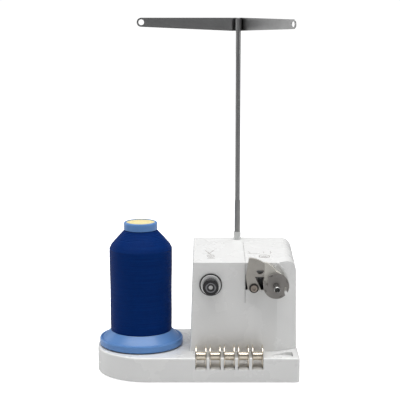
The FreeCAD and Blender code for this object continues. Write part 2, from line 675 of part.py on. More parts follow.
# ================================================================ thread spool
def spool_pin():
    flange = cylinder(PIN_FLANGE_RADIUS, PIN_FLANGE_HEIGHT, (SPOOL_X, SPOOL_Y, BASE_HEIGHT))
    flange = flange.makeFillet(1.0, rim_edges(flange, BASE_HEIGHT + PIN_FLANGE_HEIGHT))
    pin = cylinder(PIN_RADIUS, PIN_HEIGHT, (SPOOL_X, SPOOL_Y, BASE_HEIGHT))
    pin = pin.makeFillet(2.0, rim_edges(pin, BASE_HEIGHT + PIN_HEIGHT))
    bore = cylinder(SCREW_SHANK_RADIUS, HOUSING_SCREW_LENGTH, (SPOOL_X, SPOOL_Y, BASE_HEIGHT - 1))
    return join([flange, pin]).cut(bore)


def spool_pin_screw():
    return screw((SPOOL_X, SPOOL_Y, BASE_HEIGHT - DECK_THICKNESS), Z_AXIS, HOUSING_SCREW_LENGTH)


def spool_felt():
    return ring(FELT_RADIUS, PIN_FLANGE_RADIUS, FELT_THICKNESS, (SPOOL_X, SPOOL_Y, BASE_HEIGHT))


SPOOL_FOOT_Z = BASE_HEIGHT + FELT_THICKNESS


def spool_core():
    """Hollow moulding: rimmed flange, cone, barrel under the thread, collar at the top."""
    r, w, h = SPOOL_FLANGE_RADIUS, SPOOL_WALL, SPOOL_HEIGHT
    neck = h - COLLAR_HEIGHT
    cone = SPOOL_CONE_HEIGHT
    foot = SPOOL_BARREL_RADIUS
    outside = [
        (r - w, 0), (r - 0.6, 0), (r, 0.6), (r, SPOOL_RIM_HEIGHT - 1.2),
        (r - 0.5, SPOOL_RIM_HEIGHT - 0.3), (r - 1.3, SPOOL_RIM_HEIGHT),
        (r - 2.1, SPOOL_RIM_HEIGHT - 0.2), (r - 2.6, SPOOL_RIM_HEIGHT - 0.8),
        (r - 3.1, SPOOL_RIM_HEIGHT - 0.2), (THREAD_FOOT_RADIUS, cone), (foot, cone),
        (foot, neck - 1.0), (COLLAR_RADIUS, neck), (COLLAR_RADIUS, h - 1.2), (COLLAR_RADIUS - 0.35, h - 0.35),
        (COLLAR_RADIUS - 1.2, h),
    ]
    inside = [
        (LABEL_RADIUS, h), (LABEL_RADIUS, h - LABEL_THICKNESS - 0.6), (foot - w, h - LABEL_THICKNESS - 0.6),
        (foot - w, 0), (foot, 0), (foot, cone - w), (THREAD_FOOT_RADIUS - 0.7, cone - w),
        (r - w, SPOOL_RIM_HEIGHT - 1.3 * w),
    ]
    return revolve(outside + inside, (SPOOL_X, SPOOL_Y, SPOOL_FOOT_Z), Z_AXIS)


def thread_winding():
    """Solid envelope of the wound thread."""
    neck = SPOOL_HEIGHT - COLLAR_HEIGHT
    profile = [
        (SPOOL_BARREL_RADIUS, SPOOL_CONE_HEIGHT), (THREAD_FOOT_RADIUS, SPOOL_CONE_HEIGHT),
        (THREAD_SHOULDER_RADIUS, THREAD_SHOULDER_HEIGHT), (COLLAR_RADIUS + 0.1, neck - 0.15),
        (SPOOL_BARREL_RADIUS, neck - 1.15),
    ]
    return revolve(profile, (SPOOL_X, SPOOL_Y, SPOOL_FOOT_Z), Z_AXIS)


def spool_label():
    z = SPOOL_FOOT_Z + SPOOL_HEIGHT - LABEL_THICKNESS - 0.6
    return cylinder(LABEL_RADIUS, LABEL_THICKNESS, (SPOOL_X, SPOOL_Y, z))


# ================================================================ bobbins
def bobbin(index):
    x0 = bobbin_x(index) - BOBBIN_WIDTH / 2
    hub = cylinder(BOBBIN_HUB_RADIUS, BOBBIN_WIDTH, (x0, BOBBIN_Y, BOBBIN_Z), X_AXIS)
    left = cylinder(BOBBIN_RADIUS, BOBBIN_FLANGE, (x0, BOBBIN_Y, BOBBIN_Z), X_AXIS)
    right_x = x0 + BOBBIN_WIDTH - BOBBIN_FLANGE
    right = cylinder(BOBBIN_RADIUS, BOBBIN_FLANGE, (right_x, BOBBIN_Y, BOBBIN_Z), X_AXIS)
    body = join([hub, left, right])
    body = body.cut(cylinder(BOBBIN_BORE_RADIUS, BOBBIN_WIDTH, (x0, BOBBIN_Y, BOBBIN_Z), X_AXIS))
    reach = (BOBBIN_HUB_RADIUS + BOBBIN_RADIUS) / 2
    for k in range(4):
        a = math.radians(45 + 90 * k + 17 * index)
        y = BOBBIN_Y + reach * math.cos(a)
        z = BOBBIN_Z + reach * math.sin(a)
        body = body.cut(cylinder(BOBBIN_HOLE_RADIUS, BOBBIN_WIDTH, (x0, y, z), X_AXIS))
    return body


# ================================================================ winder arm
def from_pivot(x, z, y):
    return Vector(PIVOT_X + x, y, PIVOT_Z + z)


def stud_centre():
    return Vector(PIVOT_X + 1.6, 0, PIVOT_Z + 13.6)


def lever_plate():
    """Finger lever: a fan above the pivot, a half-moon cut-out and one leg down to the hub."""
    y = LEVER_FRONT_Y
    def p(x, z):
        return from_pivot(x, z, y)
    edges = [
        line(p(-5.4, -1.7), p(6.4, -1.7)),
        line(p(6.4, -1.7), p(0.8, 10.3)),
        line(p(0.8, 10.3), p(9.2, 10.3)),
        line(p(9.2, 10.3), p(9.2, 22.3)),
        arc(p(9.2, 22.3), p(2.6, 25.9), p(-4.5, 27.1)),
        line(p(-4.5, 27.1), p(-7.3, 9.0)),
        line(p(-7.3, 9.0), p(-5.4, -1.7)),
    ]
    plate = plate_xz(edges, y, LEVER_BACK_Y - y)
    moon_top = 16.3
    moon = [
        line(p(2.1, moon_top), p(8.6, moon_top)),
        arc(p(8.6, moon_top), p(5.35, moon_top - 3.6), p(2.1, moon_top)),
    ]
    plate = plate.cut(plate_xz(moon, y, LEVER_BACK_Y - y))
    bore = cylinder(JOURNAL_RADIUS + RUNNING_GAP, 20, (PIVOT_X, y - 1, PIVOT_Z), Y_AXIS)
    stud = stud_centre()
    hole = cylinder(STUD_RADIUS, 2.5, (stud.x, LEVER_BACK_Y - 2.5, stud.z), Y_AXIS)
    return plate.cut(bore).cut(hole)


def spindle_arm():
    """Casting beside the lever: it carries the bearing tube behind the seat disc."""
    y = LEVER_FRONT_Y
    def p(x, z):
        return from_pivot(x, z, y)
    cx, cz = SPINDLE_OFFSET_X, SPINDLE_OFFSET_Z
    r = SHIELD_RADIUS - SHIELD_RIM - BODY_GAP - math.hypot(cx, cz)
    a = math.radians(20)
    low_right = p(cx + r * math.cos(a), cz - r * math.sin(a))
    edges = [
        line(p(9.3, 10.3), p(8.1, 3.9)),
        line(p(8.1, 3.9), p(8.9, -1.4)),
        arc(p(8.9, -1.4), p(cx + 1.0, cz - r), low_right),
        arc(low_right, p(cx + r * math.cos(math.radians(30)), cz + r * math.sin(math.radians(30))),
            p(19.9, 15.0)),
        arc(p(19.9, 15.0), p(15.6, 20.2), p(11.6, 22.9)),
        line(p(11.6, 22.9), p(9.3, 22.9)),
        line(p(9.3, 22.9), p(9.3, 10.3)),
    ]
    plate = plate_xz(edges, y, LEVER_BACK_Y - y)
    tube_length = HOUSING_FRONT_Y + BEARING_TUBE_REACH - y - 1.0
    tube = cylinder(BEARING_TUBE_RADIUS, tube_length, (SPINDLE_X, y + 1.0, SPINDLE_Z), Y_AXIS)
    body = join([plate, tube])
    return body.cut(cylinder(BEARING_BORE_RADIUS, 40, (SPINDLE_X, y - 1, SPINDLE_Z), Y_AXIS))


LINK_RADIUS = 24.2


def arm_link():
    """Web on the back of lever and arm that makes them one stiff lever."""
    y = LEVER_BACK_Y
    def p(x, z):
        return from_pivot(x, z, y)
    def on_rim(angle):
        a = math.radians(angle)
        return p(LINK_RADIUS * math.cos(a), LINK_RADIUS * math.sin(a))
    edges = [
        line(p(9.35, 10.8), on_rim(33)),
        arc(on_rim(33), on_rim(66), on_rim(98)),
        line(on_rim(98), p(-4.4, 17.6)),
        line(p(-4.4, 17.6), p(9.35, 17.6)),
        line(p(9.35, 17.6), p(9.35, 10.8)),
    ]
    return plate_xz(edges, y, SHIELD_THICKNESS)


def arm_shield():
    """White sector about the pivot behind the arm, with a raised rim along its outer edge."""
    y0 = LEVER_BACK_Y
    outer = SHIELD_RADIUS
    def sector(inner, y, thickness):
        def p(radius, angle):
            a = math.radians(angle)
            return Vector(PIVOT_X + radius * math.cos(a), y, PIVOT_Z + radius * math.sin(a))
        low, high = SHIELD_FROM_DEG, SHIELD_TO_DEG
        middle = (low + high) / 2
        edges = [
            line(p(inner, low), p(outer, low)),
            arc(p(outer, low), p(outer, middle), p(outer, high)),
            line(p(outer, high), p(inner, high)),
            arc(p(inner, high), p(inner, middle), p(inner, low)),
        ]
        return Part.Face(Part.Wire(edges)).extrude(Vector(0, thickness, 0))
    inner_edge = math.hypot(SPINDLE_OFFSET_X, SPINDLE_OFFSET_Z) + BEARING_TUBE_RADIUS + BODY_GAP / 2
    plate = sector(inner_edge, y0, SHIELD_THICKNESS)
    rim = sector(outer - SHIELD_RIM, y0 - SHIELD_LIFT, SHIELD_LIFT + SHIELD_THICKNESS)
    return join([plate, rim])


def pivot_post():
    """Turned post on the bracket; the lever turns on its front journal."""
    y_step = LEVER_BACK_Y + 0.4
    body = cylinder(POST_RADIUS, BRACKET_Y - y_step, (PIVOT_X, y_step, PIVOT_Z), Y_AXIS)
    flange = cylinder(5.0, 1.5, (PIVOT_X, BRACKET_Y - 1.5, PIVOT_Z), Y_AXIS)
    journal_y = LEVER_FRONT_Y - 0.1
    journal = cylinder(JOURNAL_RADIUS, y_step - journal_y, (PIVOT_X, journal_y, PIVOT_Z), Y_AXIS)
    thread = cylinder(PIVOT_THREAD_RADIUS, 7.0, (PIVOT_X, journal_y - 0.1, PIVOT_Z), Y_AXIS)
    return join([body, flange, journal]).cut(thread)


def pivot_washer():
    return ring(PIVOT_WASHER_RADIUS, SCREW_SHANK_RADIUS, 0.8, (PIVOT_X, LEVER_FRONT_Y - 0.9, PIVOT_Z), Y_AXIS)


def pivot_screw():
    """Socket-head screw in the end of the post."""
    y = LEVER_FRONT_Y - 0.9
    head = cylinder(PIVOT_HEAD_RADIUS, 1.6, (PIVOT_X, y - 1.6, PIVOT_Z), Y_AXIS)
    shank = cylinder(PIVOT_THREAD_RADIUS, 7.0, (PIVOT_X, y, PIVOT_Z), Y_AXIS)
    socket = hexagon(1.9, 1.3, (PIVOT_X, y - 1.6, PIVOT_Z))
    return join([head, shank]).cut(socket)


def hexagon(radius, depth, point):
    """Hexagonal prism along +Y from point."""
    corners = []
    for k in range(6):
        a = math.radians(60 * k)
        corners.append(Vector(point[0] + radius * math.cos(a), point[1], point[2] + radius * math.sin(a)))
    return Part.Face(Part.makePolygon(corners + [corners[0]])).extrude(Vector(0, depth, 0))


def lever_stud():
    """Stud pressed into the lever; its rear end works the switch."""
    s = stud_centre()
    start = LEVER_BACK_Y - 2.5
    return cylinder(STUD_RADIUS, HOUSING_FRONT_Y + 14.0 - start, (s.x, start, s.z), Y_AXIS)


# ================================================================ spindle
WHEEL_Y = HOUSING_FRONT_Y + BEARING_TUBE_REACH + 1.0
CLIP_Y = WHEEL_Y + WHEEL_WIDTH


def spindle_shaft():
    """Nose for the bobbin, undercut and neck in the seat disc, shoulder, axle and clip groove."""
    tip = SEAT_FRONT_Y - SPINDLE_LENGTH
    nose_length = SPINDLE_LENGTH - SPINDLE_UNDERCUT
    nose = cylinder(SPINDLE_RADIUS, nose_length, (SPINDLE_X, tip, SPINDLE_Z), Y_AXIS)
    edge = [e for e in nose.Edges if abs(e.CenterOfMass.y - tip) < 1e-4 and e.BoundBox.XLength > 1]
    nose = nose.makeChamfer(SPINDLE_CHAMFER, edge)
    neck_y = tip + nose_length
    neck_length = SPINDLE_UNDERCUT + SEAT_THICKNESS
    neck = cylinder(SPINDLE_NECK_RADIUS, neck_length, (SPINDLE_X, neck_y, SPINDLE_Z), Y_AXIS)
    shoulder_y = SEAT_FRONT_Y + SEAT_THICKNESS
    axle_y = LEVER_FRONT_Y - 0.2
    shoulder_length = axle_y - shoulder_y
    shoulder = cylinder(SPINDLE_SHOULDER_RADIUS, shoulder_length, (SPINDLE_X, shoulder_y, SPINDLE_Z), Y_AXIS)
    axle = cylinder(AXLE_RADIUS, CLIP_Y + 1.6 - axle_y, (SPINDLE_X, axle_y, SPINDLE_Z), Y_AXIS)
    body = join([nose, neck, shoulder, axle])
    body = body.cut(cylinder(SPINDLE_BORE_RADIUS, SPINDLE_BORE_DEPTH, (SPINDLE_X, tip, SPINDLE_Z), Y_AXIS))
    groove_at = (SPINDLE_X, CLIP_Y + 0.2, SPINDLE_Z)
    groove = ring(AXLE_RADIUS + 1, CLIP_GROOVE_RADIUS, CLIP_THICKNESS, groove_at, Y_AXIS)
    half = SPINDLE_SLOT_WIDTH / 2
    slot = box((SPINDLE_X - half, tip - 1, SPINDLE_Z - SPINDLE_RADIUS - 1),
               (SPINDLE_X + half, tip + SPINDLE_SLOT_DEPTH, SPINDLE_Z - SPINDLE_BORE_RADIUS + 0.4))
    return body.cut(groove).cut(slot)


def bobbin_seat():
    """Seat disc with two hooked thread slots and four short rim marks."""
    y = SEAT_FRONT_Y
    disc = cylinder(SEAT_RADIUS, SEAT_THICKNESS, (SPINDLE_X, y, SPINDLE_Z), Y_AXIS)
    disc = disc.cut(cylinder(SPINDLE_NECK_RADIUS, SEAT_THICKNESS, (SPINDLE_X, y, SPINDLE_Z), Y_AXIS))
    def p(radius, angle):
        a = math.radians(angle)
        return Vector(SPINDLE_X + radius * math.cos(a), y - 1, SPINDLE_Z + radius * math.sin(a))
    for turn in (0, 180):
        corners = [p(7.6, -6 + turn), p(9.1, -5 + turn), p(SEAT_RADIUS + 1.5, -37 + turn),
                   p(SEAT_RADIUS + 1.5, -50 + turn), p(9.2, -38 + turn)]
        disc = disc.cut(Part.Face(Part.makePolygon(corners + [corners[0]])).extrude(Vector(0, 4, 0)))
    for k in range(4):
        a = 24 + 90 * k
        corners = [p(9.9, a - 7), p(10.7, a - 7), p(10.7, a + 7), p(9.9, a + 7)]
        mark = Part.Face(Part.makePolygon(corners + [corners[0]]))
        disc = disc.cut(mark.extrude(Vector(0, 1 + SEAT_MARK_DEPTH, 0)))
    return disc


def bush(y):
    bore = AXLE_RADIUS + RUNNING_GAP
    return ring(BEARING_BORE_RADIUS, bore, BUSH_LENGTH, (SPINDLE_X, y, SPINDLE_Z), Y_AXIS)


def spindle_bushes():
    front = LEVER_FRONT_Y
    rear = HOUSING_FRONT_Y + BEARING_TUBE_REACH - BUSH_LENGTH
    return Part.makeCompound([bush(front), bush(rear)])


def friction_wheel():
    hub = cylinder(WHEEL_RADIUS, WHEEL_WIDTH, (SPINDLE_X, WHEEL_Y, SPINDLE_Z), Y_AXIS)
    hub = hub.cut(cylinder(AXLE_RADIUS, WHEEL_WIDTH, (SPINDLE_X, WHEEL_Y, SPINDLE_Z), Y_AXIS))
    waist = ring(WHEEL_RADIUS - 1.4, 3.6, 1.2, (SPINDLE_X, WHEEL_Y, SPINDLE_Z), Y_AXIS)
    return hub.cut(waist)


def wheel_tyre():
    return ring(TYRE_RADIUS, WHEEL_RADIUS, WHEEL_WIDTH, (SPINDLE_X, WHEEL_Y, SPINDLE_Z), Y_AXIS)


def spindle_clip():
    y = CLIP_Y + 0.2
    clip = ring(CLIP_RADIUS, CLIP_GROOVE_RADIUS, CLIP_THICKNESS, (SPINDLE_X, y, SPINDLE_Z), Y_AXIS)
    return clip.cut(box((SPINDLE_X - 0.9, y - 1, SPINDLE_Z - 6), (SPINDLE_X + 0.9, y + 2, SPINDLE_Z - 1.2)))


# ================================================================ drive
def motor_centre():
    """The roller touches the tyre on the side that the arm swings away from."""
    reach = math.hypot(SPINDLE_OFFSET_X, SPINDLE_OFFSET_Z)
    tangent = (-SPINDLE_OFFSET_Z / reach, SPINDLE_OFFSET_X / reach)
    distance = TYRE_RADIUS + ROLLER_RADIUS + ROLLER_GAP
    return SPINDLE_X - tangent[0] * distance, SPINDLE_Z - tangent[1] * distance


MOTOR_X, MOTOR_Z = motor_centre()
MOTOR_FACE_Y = BRACKET_Y + BRACKET_THICKNESS


def motor_screw_x():
    return [MOTOR_X - MOTOR_SCREW_SPACING / 2, MOTOR_X + MOTOR_SCREW_SPACING / 2]


def mechanism_bracket():
    """Steel plate on the housing's four bosses, with a stiffening flange at its foot."""
    step_x, step_z = BRACKET_RIGHT - 12.0, BRACKET_FOOT_Z + 12.0
    outline = [
        (BRACKET_LEFT, BRACKET_FOOT_Z),
        (step_x, BRACKET_FOOT_Z),
        (step_x, step_z),
        (BRACKET_RIGHT, step_z + 6.0),
        (BRACKET_RIGHT, BRACKET_HEAD_Z - 6.5),
        (BRACKET_RIGHT - 5.0, BRACKET_HEAD_Z),
        (BRACKET_LEFT, BRACKET_HEAD_Z),
    ]
    corners = [Vector(x, BRACKET_Y, z) for x, z in outline]
    plate = Part.Face(Part.makePolygon(corners + [corners[0]])).extrude(Vector(0, BRACKET_THICKNESS, 0))
    flange = box((BRACKET_LEFT, BRACKET_Y, BRACKET_FOOT_Z),
                 (step_x, BRACKET_Y + 12.0, BRACKET_FOOT_Z + BRACKET_THICKNESS))
    body = join([plate, flange])
    for x, z in bracket_bosses():
        body = body.cut(cylinder(SCREW_SHANK_RADIUS + SCREW_GAP, 8, (x, BRACKET_Y - 3, z), Y_AXIS))
    body = body.cut(cylinder(MOTOR_NOSE_RADIUS + 0.15, 8, (MOTOR_X, BRACKET_Y - 3, MOTOR_Z), Y_AXIS))
    for x in motor_screw_x():
        body = body.cut(cylinder(MOTOR_SCREW_RADIUS + SCREW_GAP, 8, (x, BRACKET_Y - 3, MOTOR_Z), Y_AXIS))
    return body


def bracket_screws():
    forward = Vector(0, -1, 0)
    return Part.makeCompound([screw((x, MOTOR_FACE_Y, z), forward, 7.5) for x, z in bracket_bosses()])


def motor_can():
    can = cylinder(MOTOR_RADIUS, MOTOR_LENGTH, (MOTOR_X, MOTOR_FACE_Y, MOTOR_Z), Y_AXIS)
    rear = [e for e in can.Edges if abs(e.CenterOfMass.y - MOTOR_FACE_Y - MOTOR_LENGTH) < 1e-3]
    can = can.makeFillet(1.5, rear)
    nose_y = MOTOR_FACE_Y - MOTOR_NOSE_LENGTH
    nose = cylinder(MOTOR_NOSE_RADIUS, MOTOR_NOSE_LENGTH, (MOTOR_X, nose_y, MOTOR_Z), Y_AXIS)
    body = join([can, nose])
    for x in motor_screw_x():
        body = body.cut(cylinder(MOTOR_SCREW_RADIUS, 4.0, (x, MOTOR_FACE_Y, MOTOR_Z), Y_AXIS))
    return body.cut(cylinder(MOTOR_SHAFT_RADIUS + RUNNING_GAP, 16.0, (MOTOR_X, nose_y, MOTOR_Z), Y_AXIS))


def motor_screws():
    length = BRACKET_THICKNESS + 3.5
    head = MOTOR_SCREW_RADIUS * 1.8
    return Part.makeCompound([screw((x, BRACKET_Y, MOTOR_Z), Y_AXIS, length, MOTOR_SCREW_RADIUS, head)
                              for x in motor_screw_x()])


ROLLER_Y = WHEEL_Y - 0.4
ROLLER_LENGTH = WHEEL_WIDTH + 0.8


def motor_shaft():
    start = ROLLER_Y - 0.6
    return cylinder(MOTOR_SHAFT_RADIUS, MOTOR_FACE_Y + 12.0 - start, (MOTOR_X, start, MOTOR_Z), Y_AXIS)


def drive_roller():
    return ring(ROLLER_RADIUS, MOTOR_SHAFT_RADIUS, ROLLER_LENGTH, (MOTOR_X, ROLLER_Y, MOTOR_Z), Y_AXIS)


# ================================================================ switch and spring of the lever
SWITCH_Y = HOUSING_FRONT_Y + 8.4
SWITCH_RIGHT = stud_centre().x - STUD_RADIUS - 0.1 - PLUNGER_REACH
SWITCH_Z = stud_centre().z


def switch_body():
    """Snap switch on a foot that reaches back to the bracket."""
    low = SWITCH_Z - SWITCH_HEIGHT / 2
    left = SWITCH_RIGHT - SWITCH_LENGTH
    back = SWITCH_Y + SWITCH_DEPTH
    case = box((left, SWITCH_Y, low), (SWITCH_RIGHT, back, low + SWITCH_HEIGHT))
    foot = box((left, back, low), (left + 5.0, BRACKET_Y, low + SWITCH_HEIGHT))
    body = join([case, foot])
    return body.cut(cylinder(PLUNGER_RADIUS + RUNNING_GAP, 6.0,
                             (SWITCH_RIGHT - 6.0, SWITCH_Y + SWITCH_DEPTH / 2, SWITCH_Z), X_AXIS))


def switch_plunger():
    return cylinder(PLUNGER_RADIUS, PLUNGER_REACH + 3.0,
                    (SWITCH_RIGHT - 3.0, SWITCH_Y + SWITCH_DEPTH / 2, SWITCH_Z), X_AXIS)


def coil(radius, wire, half_turns, length, base, axis):
    """Round-wire spring from base along axis: half circles that tilt to and fro about one diameter."""
    rise = length / half_turns
    crown = math.hypot(radius, rise / 2)
    edges = []
    for k in range(half_turns):
        side = 1 if k % 2 == 0 else -1
        edges.append(arc(Vector(side * radius, 0, k * rise), Vector(0, side * crown, (k + 0.5) * rise),
                         Vector(-side * radius, 0, (k + 1) * rise)))
    section = Part.Wire(Part.makeCircle(wire, Vector(radius, 0, 0), Y_AXIS))
    spring = Part.Wire(edges).makePipeShell([section], True, True)
    spring.Placement = FreeCAD.Placement(Vector(*base), FreeCAD.Rotation(Z_AXIS, axis))
    return spring


def lever_spring():
    """Torsion spring around the pivot post."""
    return coil(POST_RADIUS + 1.2, SPRING_WIRE_RADIUS, 8, LEVER_SPRING_LENGTH,
                (PIVOT_X, HOUSING_INNER_Y + 6.0, PIVOT_Z), Y_AXIS)


# ================================================================ pretension unit
ESCUTCHEON_DEPTH = 1.4
DISC_MEET_Y = HOUSING_FRONT_Y - ESCUTCHEON_DEPTH - 0.8
DISC_GAP = 0.06
KNOB_FRONT_Y = HOUSING_FRONT_Y - KNOB_STAND
STOP_WASHER_Y = KNOB_FRONT_Y + 2.6


def tension_escutcheon():
    """Dark backing ring with a raised rim."""
    y = HOUSING_FRONT_Y - ESCUTCHEON_DEPTH
    back = cylinder(ESCUTCHEON_RADIUS, ESCUTCHEON_DEPTH, (TENSION_X, y, TENSION_Z), Y_AXIS)
    recess = cylinder(ESCUTCHEON_RADIUS - 0.9, ESCUTCHEON_DEPTH - 0.6, (TENSION_X, y, TENSION_Z), Y_AXIS)
    return back.cut(recess).cut(cylinder(TENSION_STUD_RADIUS, 5, (TENSION_X, y - 1, TENSION_Z), Y_AXIS))


def dished_disc(meet_y, side):
    """Tension disc: flat centre on the meeting plane, rim turned away from its partner."""
    r, t, d = DISC_RADIUS, DISC_THICKNESS, DISC_DISH
    bore = TENSION_STUD_RADIUS + 0.1
    outline = [(bore, 0), (0.62 * r, 0), (r, d), (r, d + t), (0.58 * r, t), (bore, t)]
    return revolve([(x, side * y) for x, y in outline], (TENSION_X, meet_y, TENSION_Z), Y_AXIS)


def rear_tension_disc():
    return dished_disc(DISC_MEET_Y, 1)


def front_tension_disc():
    return dished_disc(DISC_MEET_Y - DISC_GAP, -1)


FRONT_DISC_FACE_Y = DISC_MEET_Y - DISC_GAP - DISC_THICKNESS


def pressure_washer():
    return ring(5.0, TENSION_STUD_RADIUS + 0.1, PRESSURE_THICKNESS,
                (TENSION_X, FRONT_DISC_FACE_Y - PRESSURE_THICKNESS, TENSION_Z), Y_AXIS)


def tension_spring():
    start = STOP_WASHER_Y + STOP_WASHER_THICKNESS + SPRING_WIRE_RADIUS + 0.05
    end = FRONT_DISC_FACE_Y - PRESSURE_THICKNESS - SPRING_WIRE_RADIUS - 0.05
    foot = (TENSION_X, start, TENSION_Z)
    return coil(TENSION_SPRING_RADIUS, SPRING_WIRE_RADIUS, 7, end - start, foot, Y_AXIS)


def stop_washer():
    """Washer keyed to the stud's flat: it travels with the knob and keeps the spring from turning."""
    return ring(4.9, TENSION_STUD_RADIUS + RUNNING_GAP, STOP_WASHER_THICKNESS,
                (TENSION_X, STOP_WASHER_Y, TENSION_Z), Y_AXIS)


def tension_knob():
    """Fluted knob, hollow behind, with a recessed face around the stud."""
    y = KNOB_FRONT_Y
    body = cylinder(KNOB_RADIUS, KNOB_LENGTH, (TENSION_X, y, TENSION_Z), Y_AXIS)
    front = [e for e in body.Edges if abs(e.CenterOfMass.y - y) < 1e-3]
    body = body.makeFillet(0.7, front)
    floor_y = STOP_WASHER_Y - BODY_GAP * 0.2
    body = body.cut(cylinder(KNOB_RADIUS - 1.6, KNOB_LENGTH, (TENSION_X, floor_y, TENSION_Z), Y_AXIS))
    body = body.cut(ring(5.4, 3.0, 0.7, (TENSION_X, y, TENSION_Z), Y_AXIS))
    for k in range(KNOB_FLUTES):
        a = 2 * math.pi * k / KNOB_FLUTES
        x = TENSION_X + (KNOB_RADIUS + 0.15) * math.cos(a)
        z = TENSION_Z + (KNOB_RADIUS + 0.15) * math.sin(a)
        body = body.cut(cylinder(FLUTE_RADIUS, KNOB_LENGTH, (x, y + 1.2, z), Y_AXIS))
    return body.cut(cylinder(TENSION_STUD_RADIUS + RUNNING_GAP, 10, (TENSION_X, y - 1, TENSION_Z), Y_AXIS))


def tension_stud():
    start = KNOB_FRONT_Y + 0.5
    return cylinder(TENSION_STUD_RADIUS, HOUSING_INNER_Y + 4.0 - start, (TENSION_X, start, TENSION_Z), Y_AXIS)


def tension_nut():
    nut = hexagon(4.0, 2.6, (TENSION_X, HOUSING_INNER_Y, TENSION_Z))
    return nut.cut(cylinder(TENSION_STUD_RADIUS, 4, (TENSION_X, HOUSING_INNER_Y - 1, TENSION_Z), Y_AXIS))


# ================================================================ electrics
def dc_jack():
    """Panel jack in the rear wall: flange outside, threaded barrel, contact pin in the bore."""
    wall = HOUSING_REAR_Y
    flange = cylinder(JACK_FLANGE_RADIUS, 1.2, (JACK_X, wall, JACK_Z), Y_AXIS)
    barrel = cylinder(JACK_RADIUS, JACK_LENGTH, (JACK_X, wall - JACK_LENGTH, JACK_Z), Y_AXIS)
    body = join([flange, barrel])
    floor = wall - JACK_LENGTH + 2.2
    body = body.cut(cylinder(JACK_BORE_RADIUS, JACK_LENGTH - 1.0, (JACK_X, floor, JACK_Z), Y_AXIS))
    contact = cylinder(1.0, JACK_LENGTH - 2.0, (JACK_X, floor - 1.0, JACK_Z), Y_AXIS)
    return join([body, contact])


def jack_nut():
    y = HOUSING_REAR_Y - HOUSING_WALL - 2.4
    nut = hexagon(6.2, 2.4, (JACK_X, y, JACK_Z))
    return nut.cut(cylinder(JACK_RADIUS, 4, (JACK_X, y - 1, JACK_Z), Y_AXIS))


def circuit_board():
    """Speed and protection board on the cover, with its connector and two capacitors."""
    x0, y0 = -24.0 - BOARD_LENGTH, -BOARD_WIDTH / 2
    z0 = COVER_THICKNESS + 3.0
    board = box((x0, y0, z0), (x0 + BOARD_LENGTH, y0 + BOARD_WIDTH, z0 + BOARD_THICKNESS))
    pieces = [board]
    for x in (4.0, BOARD_LENGTH - 4.0):
        for y in (4.0, BOARD_WIDTH - 4.0):
            pieces.append(cylinder(2.0, 3.0, (x0 + x, y0 + y, COVER_THICKNESS)))
    pieces.append(box((x0 + 4, y0 + 8, z0 + BOARD_THICKNESS), (x0 + 11, y0 + 18, z0 + BOARD_THICKNESS + 5)))
    for x in (20.0, 29.0):
        pieces.append(cylinder(3.2, 8.0, (x0 + x, y0 + 13.0, z0 + BOARD_THICKNESS)))
    return join(pieces)


NODES = {
    "base_shell": base_shell,
    "bottom_cover": bottom_cover,
    "rubber_feet": rubber_feet,
    "bottom_screws": bottom_screws,
    "housing_shell": housing_shell,
    "housing_screws": housing_screws,
    "thread_cutter": thread_cutter,
    "rod_socket": rod_socket,
    "lower_tube": lower_tube,
    "upper_rod": upper_rod,
    "guide_bar": guide_bar,
    "bar_collar": bar_collar,
    "spool_pin": spool_pin,
    "spool_pin_screw": spool_pin_screw,
    "spool_felt": spool_felt,
    "spool_core": spool_core,
    "thread_winding": thread_winding,
    "spool_label": spool_label,
    "winder_lever": lever_plate,
    "spindle_arm": spindle_arm,
    "arm_link": arm_link,
    "arm_shield": arm_shield,
    "lever_stud": lever_stud,
    "pivot_post": pivot_post,
    "pivot_washer": pivot_washer,
    "pivot_screw": pivot_screw,
    "lever_spring": lever_spring,
    "spindle_bushes": spindle_bushes,
    "spindle_shaft": spindle_shaft,
    "bobbin_seat": bobbin_seat,
    "friction_wheel": friction_wheel,
    "wheel_tyre": wheel_tyre,
    "spindle_clip": spindle_clip,
    "mechanism_bracket": mechanism_bracket,
    "bracket_screws": bracket_screws,
    "motor_can": motor_can,
    "motor_screws": motor_screws,
    "motor_shaft": motor_shaft,
    "drive_roller": drive_roller,
    "switch_body": switch_body,
    "switch_plunger": switch_plunger,
    "tension_escutcheon": tension_escutcheon,
    "rear_tension_disc": rear_tension_disc,
    "front_tension_disc": front_tension_disc,
    "pressure_washer": pressure_washer,
    "tension_spring": tension_spring,
    "stop_washer": stop_washer,
    "tension_knob": tension_knob,
    "tension_stud": tension_stud,
    "tension_nut": tension_nut,
    "dc_jack": dc_jack,
    "jack_nut": jack_nut,
    "circuit_board": circuit_board,
}

for node, make in NODES.items():
    save(make(), node)
for number in range(BOBBIN_COUNT):
    save(bobbin(number), "bobbin_%d" % (number + 1))
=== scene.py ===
"""Looks of the electric bobbin winder: finishes, printed marks, wound thread, studio and camera."""

import logging
import math
from dataclasses import dataclass, field
from enum import Enum
from typing import Callable, Dict, Iterable, List, Optional, Sequence, Tuple

